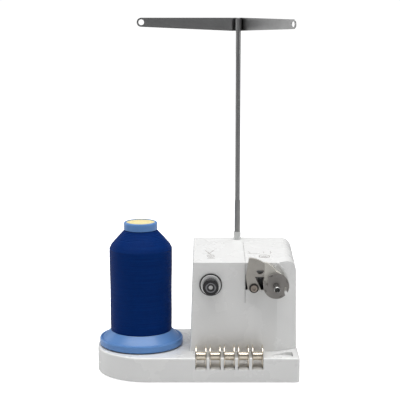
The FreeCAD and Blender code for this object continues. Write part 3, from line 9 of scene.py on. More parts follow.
import bpy
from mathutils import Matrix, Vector

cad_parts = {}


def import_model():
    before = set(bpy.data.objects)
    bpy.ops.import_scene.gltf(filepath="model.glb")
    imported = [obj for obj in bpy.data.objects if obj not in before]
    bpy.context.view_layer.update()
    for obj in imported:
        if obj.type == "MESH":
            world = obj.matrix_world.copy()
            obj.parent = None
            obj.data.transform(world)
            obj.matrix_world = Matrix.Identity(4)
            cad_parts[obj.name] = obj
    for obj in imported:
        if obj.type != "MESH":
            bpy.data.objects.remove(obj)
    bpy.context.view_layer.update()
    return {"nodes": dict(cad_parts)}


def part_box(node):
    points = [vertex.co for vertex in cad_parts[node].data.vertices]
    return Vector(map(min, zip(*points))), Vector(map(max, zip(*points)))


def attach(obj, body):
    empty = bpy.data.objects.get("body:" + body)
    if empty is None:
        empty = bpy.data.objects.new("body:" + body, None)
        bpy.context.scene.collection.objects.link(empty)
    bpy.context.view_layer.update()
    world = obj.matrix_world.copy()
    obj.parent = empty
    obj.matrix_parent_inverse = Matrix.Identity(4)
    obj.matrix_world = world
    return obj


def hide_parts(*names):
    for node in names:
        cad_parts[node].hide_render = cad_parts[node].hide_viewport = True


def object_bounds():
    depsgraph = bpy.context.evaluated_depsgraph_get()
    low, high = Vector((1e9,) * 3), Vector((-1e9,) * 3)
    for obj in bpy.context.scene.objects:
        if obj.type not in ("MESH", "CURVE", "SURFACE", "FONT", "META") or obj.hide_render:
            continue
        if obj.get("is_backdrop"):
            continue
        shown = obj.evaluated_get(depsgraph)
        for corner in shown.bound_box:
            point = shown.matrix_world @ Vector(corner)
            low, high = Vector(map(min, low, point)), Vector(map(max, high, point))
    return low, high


LOG = logging.getLogger("bobbin_winder")
MM = 0.001
Colour = Tuple[float, float, float]
Point = Tuple[float, float, float]
Outline = Sequence[Tuple[float, float]]


class Axis(Enum):
    """A direction of the row frame, with the number of its coordinate."""

    X = 0
    Y = 1
    Z = 2

    @property
    def vector(self) -> Vector:
        """Unit vector along the axis."""
        return Vector([1.0 if i == self.value else 0.0 for i in range(3)])


class Lay(Enum):
    """How the tool marks of a metal surface run."""

    STRAIGHT = "straight"
    TURNED = "turned"
    TUMBLED = "tumbled"


# ---------------------------------------------------------------------------- node graphs
class Graph:
    """A short way to write shader nodes."""

    def __init__(self, tree: bpy.types.NodeTree) -> None:
        """Starts writing in tree, which is emptied first."""
        self.tree = tree
        self.tree.nodes.clear()

    def add(self, kind: str, settings: Optional[Dict[str, object]] = None,
            inputs: Optional[Dict[object, object]] = None) -> bpy.types.Node:
        """Adds one node.

        Args:
            kind: the node's type name.
            settings: attributes to set on the node.
            inputs: socket name or number to a value, or to a socket that feeds it.

        Returns:
            The new node.
        """
        node = self.tree.nodes.new(kind)
        for name, value in (settings or {}).items():
            setattr(node, name, value)
        for key, value in (inputs or {}).items():
            if isinstance(value, bpy.types.NodeSocket):
                self.tree.links.new(value, node.inputs[key])
            else:
                node.inputs[key].default_value = value
        return node

    def math(self, operation: str, *values: object) -> bpy.types.NodeSocket:
        """Adds a Math node and returns its output."""
        node = self.add("ShaderNodeMath", {"operation": operation}, dict(enumerate(values)))
        return node.outputs[0]

    def span(self, value: bpy.types.NodeSocket, low: float, high: float,
             start: float = 0.0, end: float = 1.0) -> bpy.types.NodeSocket:
        """Maps value from start..end to low..high, clamped."""
        node = self.add("ShaderNodeMapRange", {"clamp": True},
                        {"Value": value, "From Min": start, "From Max": end, "To Min": low, "To Max": high})
        return node.outputs["Result"]

    def mix(self, factor: object, first: object, second: object) -> bpy.types.NodeSocket:
        """Mixes two colours by factor."""
        node = self.add("ShaderNodeMix", {"data_type": "RGBA"})
        for index, value in ((0, factor), (6, first), (7, second)):
            if isinstance(value, bpy.types.NodeSocket):
                self.tree.links.new(value, node.inputs[index])
            else:
                node.inputs[index].default_value = value
        return node.outputs[2]


def rgba(colour: Colour, factor: float = 1.0) -> Tuple[float, float, float, float]:
    """A colour with alpha, its brightness times factor."""
    return (*(min(1.0, c * factor) for c in colour), 1.0)


class Effects:
    """Shader node groups that several finishes share."""

    def __init__(self) -> None:
        """Starts with no group built."""
        self._made: Dict[str, bpy.types.NodeTree] = {}

    def _begin(self, name: str, sockets: Sequence[Tuple[str, str, str, object]]
               ) -> Tuple[bpy.types.NodeTree, Graph, bpy.types.Node, bpy.types.Node]:
        """Makes an empty group with its sockets.

        Args:
            name: the group's name.
            sockets: (socket name, INPUT or OUTPUT, socket type, default or None) for each.

        Returns:
            The tree, a graph on it, its input node and its output node.
        """
        tree = bpy.data.node_groups.new(name, "ShaderNodeTree")
        for label, side, kind, default in sockets:
            socket = tree.interface.new_socket(label, in_out=side, socket_type=kind)
            if default is not None:
                socket.default_value = default
        graph = Graph(tree)
        return tree, graph, graph.add("NodeGroupInput"), graph.add("NodeGroupOutput")

    def get(self, name: str) -> bpy.types.NodeTree:
        """The group of that name, built when first asked for."""
        if name not in self._made:
            self._made[name] = getattr(self, "_" + name)()
        return self._made[name]

    def _tone_drift(self) -> bpy.types.NodeTree:
        """Slow change between two tones, as in any moulded or cast surface."""
        tree, g, source, sink = self._begin("tone_drift", [
            ("Vector", "INPUT", "NodeSocketVector", None), ("Scale", "INPUT", "NodeSocketFloat", 40.0),
            ("Low", "INPUT", "NodeSocketColor", (0.5, 0.5, 0.5, 1)),
            ("High", "INPUT", "NodeSocketColor", (0.5, 0.5, 0.5, 1)),
            ("Colour", "OUTPUT", "NodeSocketColor", None), ("Value", "OUTPUT", "NodeSocketFloat", None)])
        noise = g.add("ShaderNodeTexNoise", None, {
            "Vector": source.outputs["Vector"], "Scale": source.outputs["Scale"], "Detail": 4.0,
            "Roughness": 0.55})
        level = g.span(noise.outputs["Fac"], 0.0, 1.0, 0.3, 0.7)
        tree.links.new(g.mix(level, source.outputs["Low"], source.outputs["High"]), sink.inputs["Colour"])
        tree.links.new(level, sink.inputs["Value"])
        return tree

    def _moulded_grain(self) -> bpy.types.NodeTree:
        """Fine sparkle of a spark-eroded mould, as a normal."""
        tree, g, source, sink = self._begin("moulded_grain", [
            ("Vector", "INPUT", "NodeSocketVector", None), ("Scale", "INPUT", "NodeSocketFloat", 1500.0),
            ("Depth", "INPUT", "NodeSocketFloat", 0.1), ("Normal", "OUTPUT", "NodeSocketVector", None),
            ("Height", "OUTPUT", "NodeSocketFloat", None)])
        noise = g.add("ShaderNodeTexNoise", None, {
            "Vector": source.outputs["Vector"], "Scale": source.outputs["Scale"], "Detail": 2.0})
        bump = g.add("ShaderNodeBump", None, {
            "Strength": source.outputs["Depth"], "Distance": 0.0002, "Height": noise.outputs["Fac"]})
        tree.links.new(bump.outputs["Normal"], sink.inputs["Normal"])
        tree.links.new(noise.outputs["Fac"], sink.inputs["Height"])
        return tree

    def _settled_dust(self) -> bpy.types.NodeTree:
        """Faint patches of dust on surfaces that face upwards, as a mask."""
        tree, g, source, sink = self._begin("settled_dust", [
            ("Vector", "INPUT", "NodeSocketVector", None), ("Amount", "INPUT", "NodeSocketFloat", 0.1),
            ("Mask", "OUTPUT", "NodeSocketFloat", None)])
        facing = g.add("ShaderNodeSeparateXYZ", None, {0: g.add("ShaderNodeNewGeometry").outputs["Normal"]})
        upward = g.span(facing.outputs["Z"], 0.0, 1.0, 0.35, 1.0)
        noise = g.add("ShaderNodeTexNoise", None, {
            "Vector": source.outputs["Vector"], "Scale": 90.0, "Detail": 5.0, "Roughness": 0.7})
        patch = g.span(noise.outputs["Fac"], 0.0, 1.0, 0.42, 0.72)
        tree.links.new(g.math("MULTIPLY", g.math("MULTIPLY", upward, patch), source.outputs["Amount"]),
                       sink.inputs["Mask"])
        return tree

    def _edge_wear_and_highlight(self) -> bpy.types.NodeTree:
        """Thin band along sharp edges, broken up by noise, as a mask: partly edge wear, partly a painted
        edge highlight.
        """
        tree, g, source, sink = self._begin("edge_wear_and_highlight", [
            ("Vector", "INPUT", "NodeSocketVector", None), ("Width", "INPUT", "NodeSocketFloat", 0.0003),
            ("Amount", "INPUT", "NodeSocketFloat", 0.3), ("Mask", "OUTPUT", "NodeSocketFloat", None)])
        bevel = g.add("ShaderNodeBevel", {"samples": 4}, {"Radius": source.outputs["Width"]})
        flat = g.add("ShaderNodeNewGeometry")
        dot = g.add("ShaderNodeVectorMath", {"operation": "DOT_PRODUCT"},
                    {0: bevel.outputs["Normal"], 1: flat.outputs["Normal"]})
        edge = g.span(dot.outputs["Value"], 1.0, 0.0, 0.80, 0.99)
        noise = g.add("ShaderNodeTexNoise", None, {
            "Vector": source.outputs["Vector"], "Scale": 260.0, "Detail": 3.0})
        broken = g.span(noise.outputs["Fac"], 0.35, 1.0, 0.35, 0.6)
        tree.links.new(g.math("MULTIPLY", g.math("MULTIPLY", edge, broken), source.outputs["Amount"]),
                       sink.inputs["Mask"])
        return tree

    def _painted_recess_shade(self) -> bpy.types.NodeTree:
        """Painted shade in narrow grooves, sockets and corners where light doesn't reach, found by ambient
        occlusion, as a mask.
        """
        tree, g, source, sink = self._begin("painted_recess_shade", [
            ("Reach", "INPUT", "NodeSocketFloat", 0.0015), ("Amount", "INPUT", "NodeSocketFloat", 0.4),
            ("Mask", "OUTPUT", "NodeSocketFloat", None)])
        # Painted shade: occlusion within Reach turns into a darkening mask.
        closed = g.add("ShaderNodeAmbientOcclusion", {"samples": 8}, {"Distance": source.outputs["Reach"]})
        depth = g.span(closed.outputs["AO"], 1.0, 0.0, 0.15, 0.75)
        tree.links.new(g.math("MULTIPLY", depth, source.outputs["Amount"]), sink.inputs["Mask"])
        return tree

    def _hairlines(self) -> bpy.types.NodeTree:
        """Tool marks: fine noise on a vector that has been stretched along the marks."""
        tree, g, source, sink = self._begin("hairlines", [
            ("Vector", "INPUT", "NodeSocketVector", None), ("Depth", "INPUT", "NodeSocketFloat", 0.1),
            ("Normal", "OUTPUT", "NodeSocketVector", None), ("Value", "OUTPUT", "NodeSocketFloat", None)])
        fine = g.add("ShaderNodeTexNoise", None,
            {"Vector": source.outputs["Vector"], "Scale": 1.0, "Detail": 3.0})
        coarse = g.add("ShaderNodeTexNoise", None,
            {"Vector": source.outputs["Vector"], "Scale": 0.23, "Detail": 2.0})
        blend = g.math("ADD", g.math("MULTIPLY", fine.outputs["Fac"], 0.65),
                       g.math("MULTIPLY", coarse.outputs["Fac"], 0.35))
        bump = g.add("ShaderNodeBump", None, {
            "Strength": source.outputs["Depth"], "Distance": 0.00005, "Height": blend})
        tree.links.new(bump.outputs["Normal"], sink.inputs["Normal"])
        tree.links.new(g.span(blend, 0.0, 1.0, 0.3, 0.7), sink.inputs["Value"])
        return tree


EFFECTS = Effects()


class Finish:
    """Base of every finish: makes its material once and hands it out."""

    name: str

    def __init__(self) -> None:
        """Starts with no material."""
        self._material: Optional[bpy.types.Material] = None

    @property
    def material(self) -> bpy.types.Material:
        """The finish's Blender material."""
        if self._material is None:
            made = bpy.data.materials.new(self.name)
            made.use_nodes = True
            graph = Graph(made.node_tree)
            shader = graph.add("ShaderNodeBsdfPrincipled")
            output = graph.add("ShaderNodeOutputMaterial", None, {"Surface": shader.outputs["BSDF"]})
            output.is_active_output = True
            self.write(graph, shader)
            self._material = made
        return self._material

    def write(self, graph: Graph, shader: bpy.types.Node) -> None:
        """Writes the finish's own nodes. Each finish has its own."""
        raise NotImplementedError

    def effect(self, graph: Graph, name: str, inputs: Dict[object, object]) -> bpy.types.Node:
        """Places a shared node group in graph with its values."""
        return graph.add("ShaderNodeGroup", {"node_tree": EFFECTS.get(name)}, inputs)

    def place(self, graph: Graph) -> bpy.types.NodeSocket:
        """Object coordinates."""
        return graph.add("ShaderNodeTexCoord").outputs["Object"]


@dataclass(frozen=True)
class PlasticLook:
    """Numbers of a moulded plastic."""

    name: str
    colour: Colour
    roughness: float = 0.3
    grain: float = 0.12
    grain_scale: float = 1600.0
    drift: float = 0.04
    dust: float = 0.05
    # Strength of the edge lightening: partly wear, partly painted highlight.
    wear_and_highlight: float = 0.15
    # Strength of the painted recess shade.
    recess: float = 0.5
    coat: float = 0.0


class Plastic(Finish):
    """Injection-moulded plastic: fine grain, slow tone drift, edges lightened by wear and a painted
    highlight, painted shade in recesses and a trace of dust.
    """

    def __init__(self, look: PlasticLook) -> None:
        """Keeps the look."""
        super().__init__()
        self.look = look
        self.name = look.name

    def write(self, graph: Graph, shader: bpy.types.Node) -> None:
        """Colour, roughness and grain of the plastic."""
        look, links = self.look, graph.tree.links
        vector = self.place(graph)
        tone = self.effect(graph, "tone_drift", {
            "Vector": vector, "Scale": 34.0, "Low": rgba(look.colour, 1 - look.drift),
            "High": rgba(look.colour, 1 + look.drift)})
        # Edges lightened to 1.12 of the colour: partly wear, partly painted highlight.
        worn_and_lit = self.effect(graph, "edge_wear_and_highlight", {"Vector": vector, "Width": 0.00035, "Amount": look.wear_and_highlight})
        dust = self.effect(graph, "settled_dust", {"Vector": vector, "Amount": look.dust})
        colour = graph.mix(worn_and_lit.outputs["Mask"], tone.outputs["Colour"], rgba(look.colour, 1.12))
        colour = graph.mix(dust.outputs["Mask"], colour, (0.58, 0.56, 0.53, 1))
        # Painted shade: grooves and corners darkened towards 0.3 of the colour by ambient occlusion.
        recess = self.effect(graph, "painted_recess_shade", {"Reach": 0.0012, "Amount": look.recess})
        colour = graph.mix(recess.outputs["Mask"], colour, rgba(look.colour, 0.3))
        links.new(colour, shader.inputs["Base Color"])
        grain = self.effect(graph, "moulded_grain", {
            "Vector": vector, "Scale": look.grain_scale, "Depth": look.grain})
        links.new(grain.outputs["Normal"], shader.inputs["Normal"])
        rough = graph.span(tone.outputs["Value"], look.roughness * 0.88, min(1.0, look.roughness * 1.12))
        links.new(graph.math("ADD", rough, graph.math("MULTIPLY", dust.outputs["Mask"], 0.5)),
                  shader.inputs["Roughness"])
        shader.inputs["Coat Weight"].default_value = look.coat
        shader.inputs["Coat Roughness"].default_value = 0.12


@dataclass(frozen=True)
class MetalLook:
    """Numbers of a metal surface."""

    name: str
    colour: Colour
    roughness: float = 0.3
    lay: Lay = Lay.TUMBLED
    along: Axis = Axis.Z
    centre: Point = (0.0, 0.0, 0.0)
    marks: float = 0.15
    fineness: float = 2500.0
    drift: float = 0.08
    # Strength of the edge lightening: partly wear, partly painted highlight.
    wear_and_highlight: float = 0.25
    # Strength of the painted recess shade.
    recess: float = 0.6
    metallic: float = 1.0


class Metal(Finish):
    """Bare or plated metal with straight, turned or tumbled tool marks."""

    def __init__(self, look: MetalLook) -> None:
        """Keeps the look."""
        super().__init__()
        self.look = look
        self.name = look.name

    def marks_vector(self, graph: Graph, vector: bpy.types.NodeSocket) -> bpy.types.NodeSocket:
        """The vector that the tool marks read: stretched along them."""
        look = self.look
        if look.lay is Lay.TUMBLED:
            scale = (look.fineness * 0.4,) * 3
            return graph.add("ShaderNodeMapping", None, {"Vector": vector, "Scale": scale}).outputs[0]
        if look.lay is Lay.STRAIGHT:
            scale = [look.fineness] * 3
            scale[look.along.value] = look.fineness * 0.02
            return graph.add("ShaderNodeMapping", None, {"Vector": vector, "Scale": scale}).outputs[0]
        shifted = graph.add("ShaderNodeMapping", None, {
            "Vector": vector, "Location": tuple(-c for c in look.centre)}).outputs[0]
        across = [1.0, 1.0, 1.0]
        across[look.along.value] = 0.0
        flat = graph.add("ShaderNodeVectorMath", {"operation": "MULTIPLY"}, {0: shifted, 1: across})
        radius = graph.add("ShaderNodeVectorMath", {"operation": "LENGTH"}, {0: flat.outputs[0]})
        height = graph.add("ShaderNodeSeparateXYZ", None, {0: shifted}).outputs[look.along.value]
        return graph.add("ShaderNodeCombineXYZ", None, {
            0: graph.math("MULTIPLY", radius.outputs["Value"], look.fineness),
            1: graph.math("MULTIPLY", height, look.fineness)}).outputs[0]

    def write(self, graph: Graph, shader: bpy.types.Node) -> None:
        """Colour, roughness and tool marks of the metal."""
        look, links = self.look, graph.tree.links
        vector = self.place(graph)
        marks = self.effect(graph, "hairlines",
            {"Vector": self.marks_vector(graph, vector), "Depth": look.marks})
        tone = self.effect(graph, "tone_drift", {
            "Vector": vector, "Scale": 70.0, "Low": rgba(look.colour, 1 - look.drift),
            "High": rgba(look.colour, 1 + look.drift)})
        lined = graph.mix(graph.math("MULTIPLY", marks.outputs["Value"], 0.35), tone.outputs["Colour"],
                          rgba(look.colour, 0.8))
        # Edges lightened to 1.5 of the colour: partly wear, partly painted highlight.
        worn_and_lit = self.effect(graph, "edge_wear_and_highlight", {"Vector": vector, "Width": 0.00025, "Amount": look.wear_and_highlight})
        colour = graph.mix(worn_and_lit.outputs["Mask"], lined, rgba(look.colour, 1.5))
        # Painted shade: sockets and corners darkened towards 0.12 of the colour by ambient occlusion.
        recess = self.effect(graph, "painted_recess_shade", {"Reach": 0.002, "Amount": look.recess})
        links.new(graph.mix(recess.outputs["Mask"], colour, rgba(look.colour, 0.12)),
            shader.inputs["Base Color"])
        links.new(graph.span(marks.outputs["Value"], look.roughness * 0.8, min(1.0, look.roughness * 1.25)),
                  shader.inputs["Roughness"])
        links.new(marks.outputs["Normal"], shader.inputs["Normal"])
        shader.inputs["Metallic"].default_value = look.metallic


@dataclass(frozen=True)
class FibreLook:
    """Numbers of a fibre surface: pressed felt or rubber crumb."""

    name: str
    colour: Colour
    roughness: float = 0.95
    scale: float = 900.0
    depth: float = 0.6
    sheen: float = 0.3


class Fibre(Finish):
    """Matt surface of short fibres or crumbs."""

    def __init__(self, look: FibreLook) -> None:
        """Keeps the look."""
        super().__init__()
        self.look = look
        self.name = look.name

    def write(self, graph: Graph, shader: bpy.types.Node) -> None:
        """Colour and nap of the fibres."""
        look, links = self.look, graph.tree.links
        vector = self.place(graph)
        tone = self.effect(graph, "tone_drift", {
            "Vector": vector, "Scale": look.scale * 0.4, "Low": rgba(look.colour, 0.8),
            "High": rgba(look.colour, 1.2)})
        links.new(tone.outputs["Colour"], shader.inputs["Base Color"])
        nap = self.effect(graph, "moulded_grain",
            {"Vector": vector, "Scale": look.scale, "Depth": look.depth})
        links.new(nap.outputs["Normal"], shader.inputs["Normal"])
        links.new(graph.span(nap.outputs["Height"], look.roughness * 0.9, min(1.0, look.roughness * 1.05)),
                  shader.inputs["Roughness"])
        shader.inputs["Sheen Weight"].default_value = look.sheen


@dataclass(frozen=True)
class ThreadLook:
    """Numbers of the wound thread."""

    name: str
    colour: Colour
    # Lighter blue painted on the strand crests as a highlight.
    bright: Colour
    turns: float
    crossings: float


class WoundThread(Finish):
    """Glossy polyester thread, cross wound. It reads the piece's own wrap map: u round, v along."""

    def __init__(self, look: ThreadLook) -> None:
        """Keeps the look."""
        super().__init__()
        self.look = look
        self.name = look.name

    def strands(self, graph: Graph, u: bpy.types.NodeSocket, v: bpy.types.NodeSocket,
                slope: float) -> bpy.types.NodeSocket:
        """One layer of strands that climb by slope as they go round: 0 between strands, 1 on them."""
        phase = graph.math("ADD", graph.math("MULTIPLY", v, self.look.turns),
            graph.math("MULTIPLY", u, slope))
        wave = graph.math("SINE", graph.math("MULTIPLY", phase, 2 * math.pi))
        return graph.span(wave, 0.0, 1.0, -1.0, 1.0)

    def write(self, graph: Graph, shader: bpy.types.Node) -> None:
        """Two crossing layers of strands, streaky colour with a painted highlight on the strand crests, and
        a silky gloss.
        """
        look, links = self.look, graph.tree.links
        wrap = graph.add("ShaderNodeUVMap", {"uv_map": "wrap"}).outputs["UV"]
        parts = graph.add("ShaderNodeSeparateXYZ", None, {0: wrap})
        u, v = parts.outputs["X"], parts.outputs["Y"]
        rising = self.strands(graph, u, v, look.crossings)
        falling = self.strands(graph, u, v, -look.crossings)
        patch = graph.add("ShaderNodeTexNoise", None, {"Vector": wrap, "Scale": 22.0, "Detail": 3.0})
        layer = graph.span(patch.outputs["Fac"], 0.0, 1.0, 0.44, 0.56)
        height = graph.math("ADD", graph.math("MULTIPLY", rising, layer),
                            graph.math("MULTIPLY", falling, graph.math("SUBTRACT", 1.0, layer)))
        streaks = graph.add("ShaderNodeMapping", None,
            {"Vector": wrap, "Scale": (3.0, 160.0, 1.0)}).outputs[0]
        band = graph.add("ShaderNodeTexNoise", None, {"Vector": streaks, "Scale": 1.0, "Detail": 3.0})
        # Painted highlight: the strand crests, broken up by streak noise, take the lighter crest colour.
        level = graph.math("MULTIPLY", graph.span(band.outputs["Fac"], 0.35, 1.0, 0.3, 0.7), height)
        links.new(graph.mix(level, rgba(look.colour), rgba(look.bright)), shader.inputs["Base Color"])
        bump = graph.add("ShaderNodeBump", None, {"Strength": 0.55, "Distance": 0.00012, "Height": height})
        links.new(bump.outputs["Normal"], shader.inputs["Normal"])
        links.new(graph.span(height, 0.62, 0.42), shader.inputs["Roughness"])
        shader.inputs["Specular IOR Level"].default_value = 0.05


class PaperLabel(Finish):
    """Cream paper disc with a generic printed ring and a ring of short ticks."""

    def __init__(self, name: str, centre: Point, radius: float) -> None:
        """Keeps the label's place and size, in metres."""
        super().__init__()
        self.name, self.centre, self.radius = name, centre, radius

    def write(self, graph: Graph, shader: bpy.types.Node) -> None:
        """Paper tone, fibres and the printed rings."""
        links = graph.tree.links
        vector = self.place(graph)
        local = graph.add("ShaderNodeMapping", None, {
            "Vector": vector, "Location": (-self.centre[0], -self.centre[1], 0.0)}).outputs[0]
        parts = graph.add("ShaderNodeSeparateXYZ", None, {0: local})
        x, y = parts.outputs["X"], parts.outputs["Y"]
        reach = graph.math("DIVIDE", graph.math("SQRT", graph.math(
            "ADD", graph.math("MULTIPLY", x, x), graph.math("MULTIPLY", y, y))), self.radius)
        angle = graph.math("ARCTAN2", y, x)
        ring = graph.math("COMPARE", reach, 0.80, 0.025)
        teeth = graph.math("GREATER_THAN", graph.math("SINE", graph.math("MULTIPLY", angle, 36.0)), 0.2)
        ticks = graph.math("MULTIPLY", graph.math("COMPARE", reach, 0.58, 0.09), teeth)
        printed = graph.math("MINIMUM", graph.math("ADD", ring, ticks), 1.0)
        tone = self.effect(graph, "tone_drift", {
            "Vector": vector, "Scale": 220.0, "Low": (0.74, 0.63, 0.32, 1), "High": (0.80, 0.71, 0.40, 1)})
        links.new(graph.mix(graph.math("MULTIPLY", printed, 0.55), tone.outputs["Colour"],
                  (0.62, 0.46, 0.12, 1)),
                  shader.inputs["Base Color"])
        grain = self.effect(graph, "moulded_grain", {"Vector": vector, "Scale": 2200.0, "Depth": 0.25})
        links.new(grain.outputs["Normal"], shader.inputs["Normal"])
        links.new(graph.span(grain.outputs["Height"], 0.5, 0.66), shader.inputs["Roughness"])


class Backdrop(Finish):
    """Pale paper floor that the camera sees a little lighter than it is lit."""

    def __init__(self, name: str, tone: float, lift: float) -> None:
        """Keeps the paper's tone and how much the camera sees it lifted."""
        super().__init__()
        self.name, self.tone, self.lift = name, tone, lift

    def write(self, graph: Graph, shader: bpy.types.Node) -> None:
        """Paper tone with a fine tooth, and the lift."""
        links = graph.tree.links
        vector = self.place(graph)
        tone = self.effect(graph, "tone_drift", {
            "Vector": vector, "Scale": 400.0, "Low": rgba((self.tone,) * 3, 0.99),
            "High": rgba((self.tone,) * 3)})
        links.new(tone.outputs["Colour"], shader.inputs["Base Color"])
        tooth = self.effect(graph, "moulded_grain", {"Vector": vector, "Scale": 900.0, "Depth": 0.05})
        links.new(tooth.outputs["Normal"], shader.inputs["Normal"])
        shader.inputs["Roughness"].default_value = 0.9
        shader.inputs["Specular IOR Level"].default_value = 0.1
        seen = graph.add("ShaderNodeLightPath").outputs["Is Camera Ray"]
        links.new(graph.math("MULTIPLY", seen, self.lift), shader.inputs["Emission Strength"])
        shader.inputs["Emission Color"].default_value = (1, 1, 1, 1)


# ---------------------------------------------------------------------------- bench work
class Bench:
    """Mesh work with the same operators that one uses by hand."""

    @staticmethod
    def clear() -> None:
        """Leaves edit mode and selects nothing."""
        if bpy.context.object and bpy.context.object.mode != "OBJECT":
            bpy.ops.object.mode_set(mode="OBJECT")
        bpy.ops.object.select_all(action="DESELECT")

    @classmethod
    def edit_all(cls) -> None:
        """Enters edit mode on the active object with all of it selected."""
        bpy.ops.object.mode_set(mode="EDIT")
        bpy.ops.mesh.select_all(action="SELECT")

    @classmethod
    def settle(cls, name: str) -> bpy.types.Object:
        """Leaves edit mode, applies the active object's place and names it."""
        if bpy.context.object.mode != "OBJECT":
            bpy.ops.object.mode_set(mode="OBJECT")
        bpy.ops.object.transform_apply(location=True, rotation=True, scale=True)
        piece = bpy.context.object
        piece.name = name
        piece.data.name = name
        return piece

    @classmethod
    def weld(cls) -> None:
        """Merges doubles and turns all faces outwards, in edit mode."""
        bpy.ops.mesh.select_all(action="SELECT")
        bpy.ops.mesh.remove_doubles(threshold=1e-6)
        bpy.ops.mesh.normals_make_consistent(inside=False)

    @classmethod
    def smooth(cls, piece: bpy.types.Object, degrees: float = 35.0) -> None:
        """Shades piece smooth up to an angle between faces."""
        cls.clear()
        piece.select_set(True)
        bpy.context.view_layer.objects.active = piece
        bpy.ops.object.shade_smooth_by_angle(angle=math.radians(degrees))

    @classmethod
    def point(cls, place: Vector) -> None:
        """Adds an object of a single vertex at place and stays in edit mode."""
        cls.clear()
        bpy.ops.mesh.primitive_plane_add(size=MM, location=(0, 0, 0))
        cls.edit_all()
        bpy.ops.mesh.merge(type="CENTER")
        bpy.ops.mesh.select_all(action="SELECT")
        bpy.ops.transform.translate(value=place)

    @classmethod
    def lathe(cls, name: str, outline: Outline, centre: Vector, axis: Axis,
            steps: int = 96) -> bpy.types.Object:
        """Turns an outline about an axis.

        Args:
            name: the piece's name.
            outline: (radius, height along the axis) points in metres; a closed one ends where it starts.
            centre: a point on the axis, from which heights count.
            axis: the axis it is turned about.
            steps: how many steps make the full turn.

        Returns:
            The piece.
        """
        out = Axis.X if axis is not Axis.X else Axis.Z
        places = [centre + out.vector * r + axis.vector * h for r, h in outline]
        cls.point(places[0])
        for start, end in zip(places, places[1:]):
            bpy.ops.mesh.extrude_vertices_move(TRANSFORM_OT_translate={"value": end - start})
        bpy.ops.mesh.select_all(action="SELECT")
        bpy.ops.mesh.spin(steps=steps, angle=2 * math.pi, center=centre, axis=axis.vector)
        cls.weld()
        piece = cls.settle(name)
        cls.smooth(piece)
        return piece

    @classmethod
    def join(cls, name: str, parts: Sequence[bpy.types.Object]) -> bpy.types.Object:
        """Joins pieces into one object."""
        cls.clear()
        for part in parts:
            part.select_set(True)
        bpy.context.view_layer.objects.active = parts[0]
        bpy.ops.object.join()
        return cls.settle(name)


def dress(piece: bpy.types.Object, finish: Finish) -> None:
    """Gives a piece or a CAD node its finish."""
    if piece.data.materials:
        for index in range(len(piece.data.materials)):
            piece.data.materials[index] = finish.material
    else:
        piece.data.materials.append(finish.material)


def node_centre(node: str) -> Vector:
    """Middle of a CAD node's box."""
    low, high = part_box(node)
    return (low + high) / 2


# ---------------------------------------------------------------------------- sub-assemblies
@dataclass
class SubAssembly:
    """A group of pieces that are built and dressed together."""

    nodes: Dict[str, bpy.types.Object]

    def dress_nodes(self, names: Iterable[str], finish: Finish) -> None:
        """Gives several CAD nodes one finish."""
        for name in names:
            dress(self.nodes[name], finish)

    def build(self) -> List[bpy.types.Object]:
        """Builds and dresses the group; returns its new pieces."""
        raise NotImplementedError


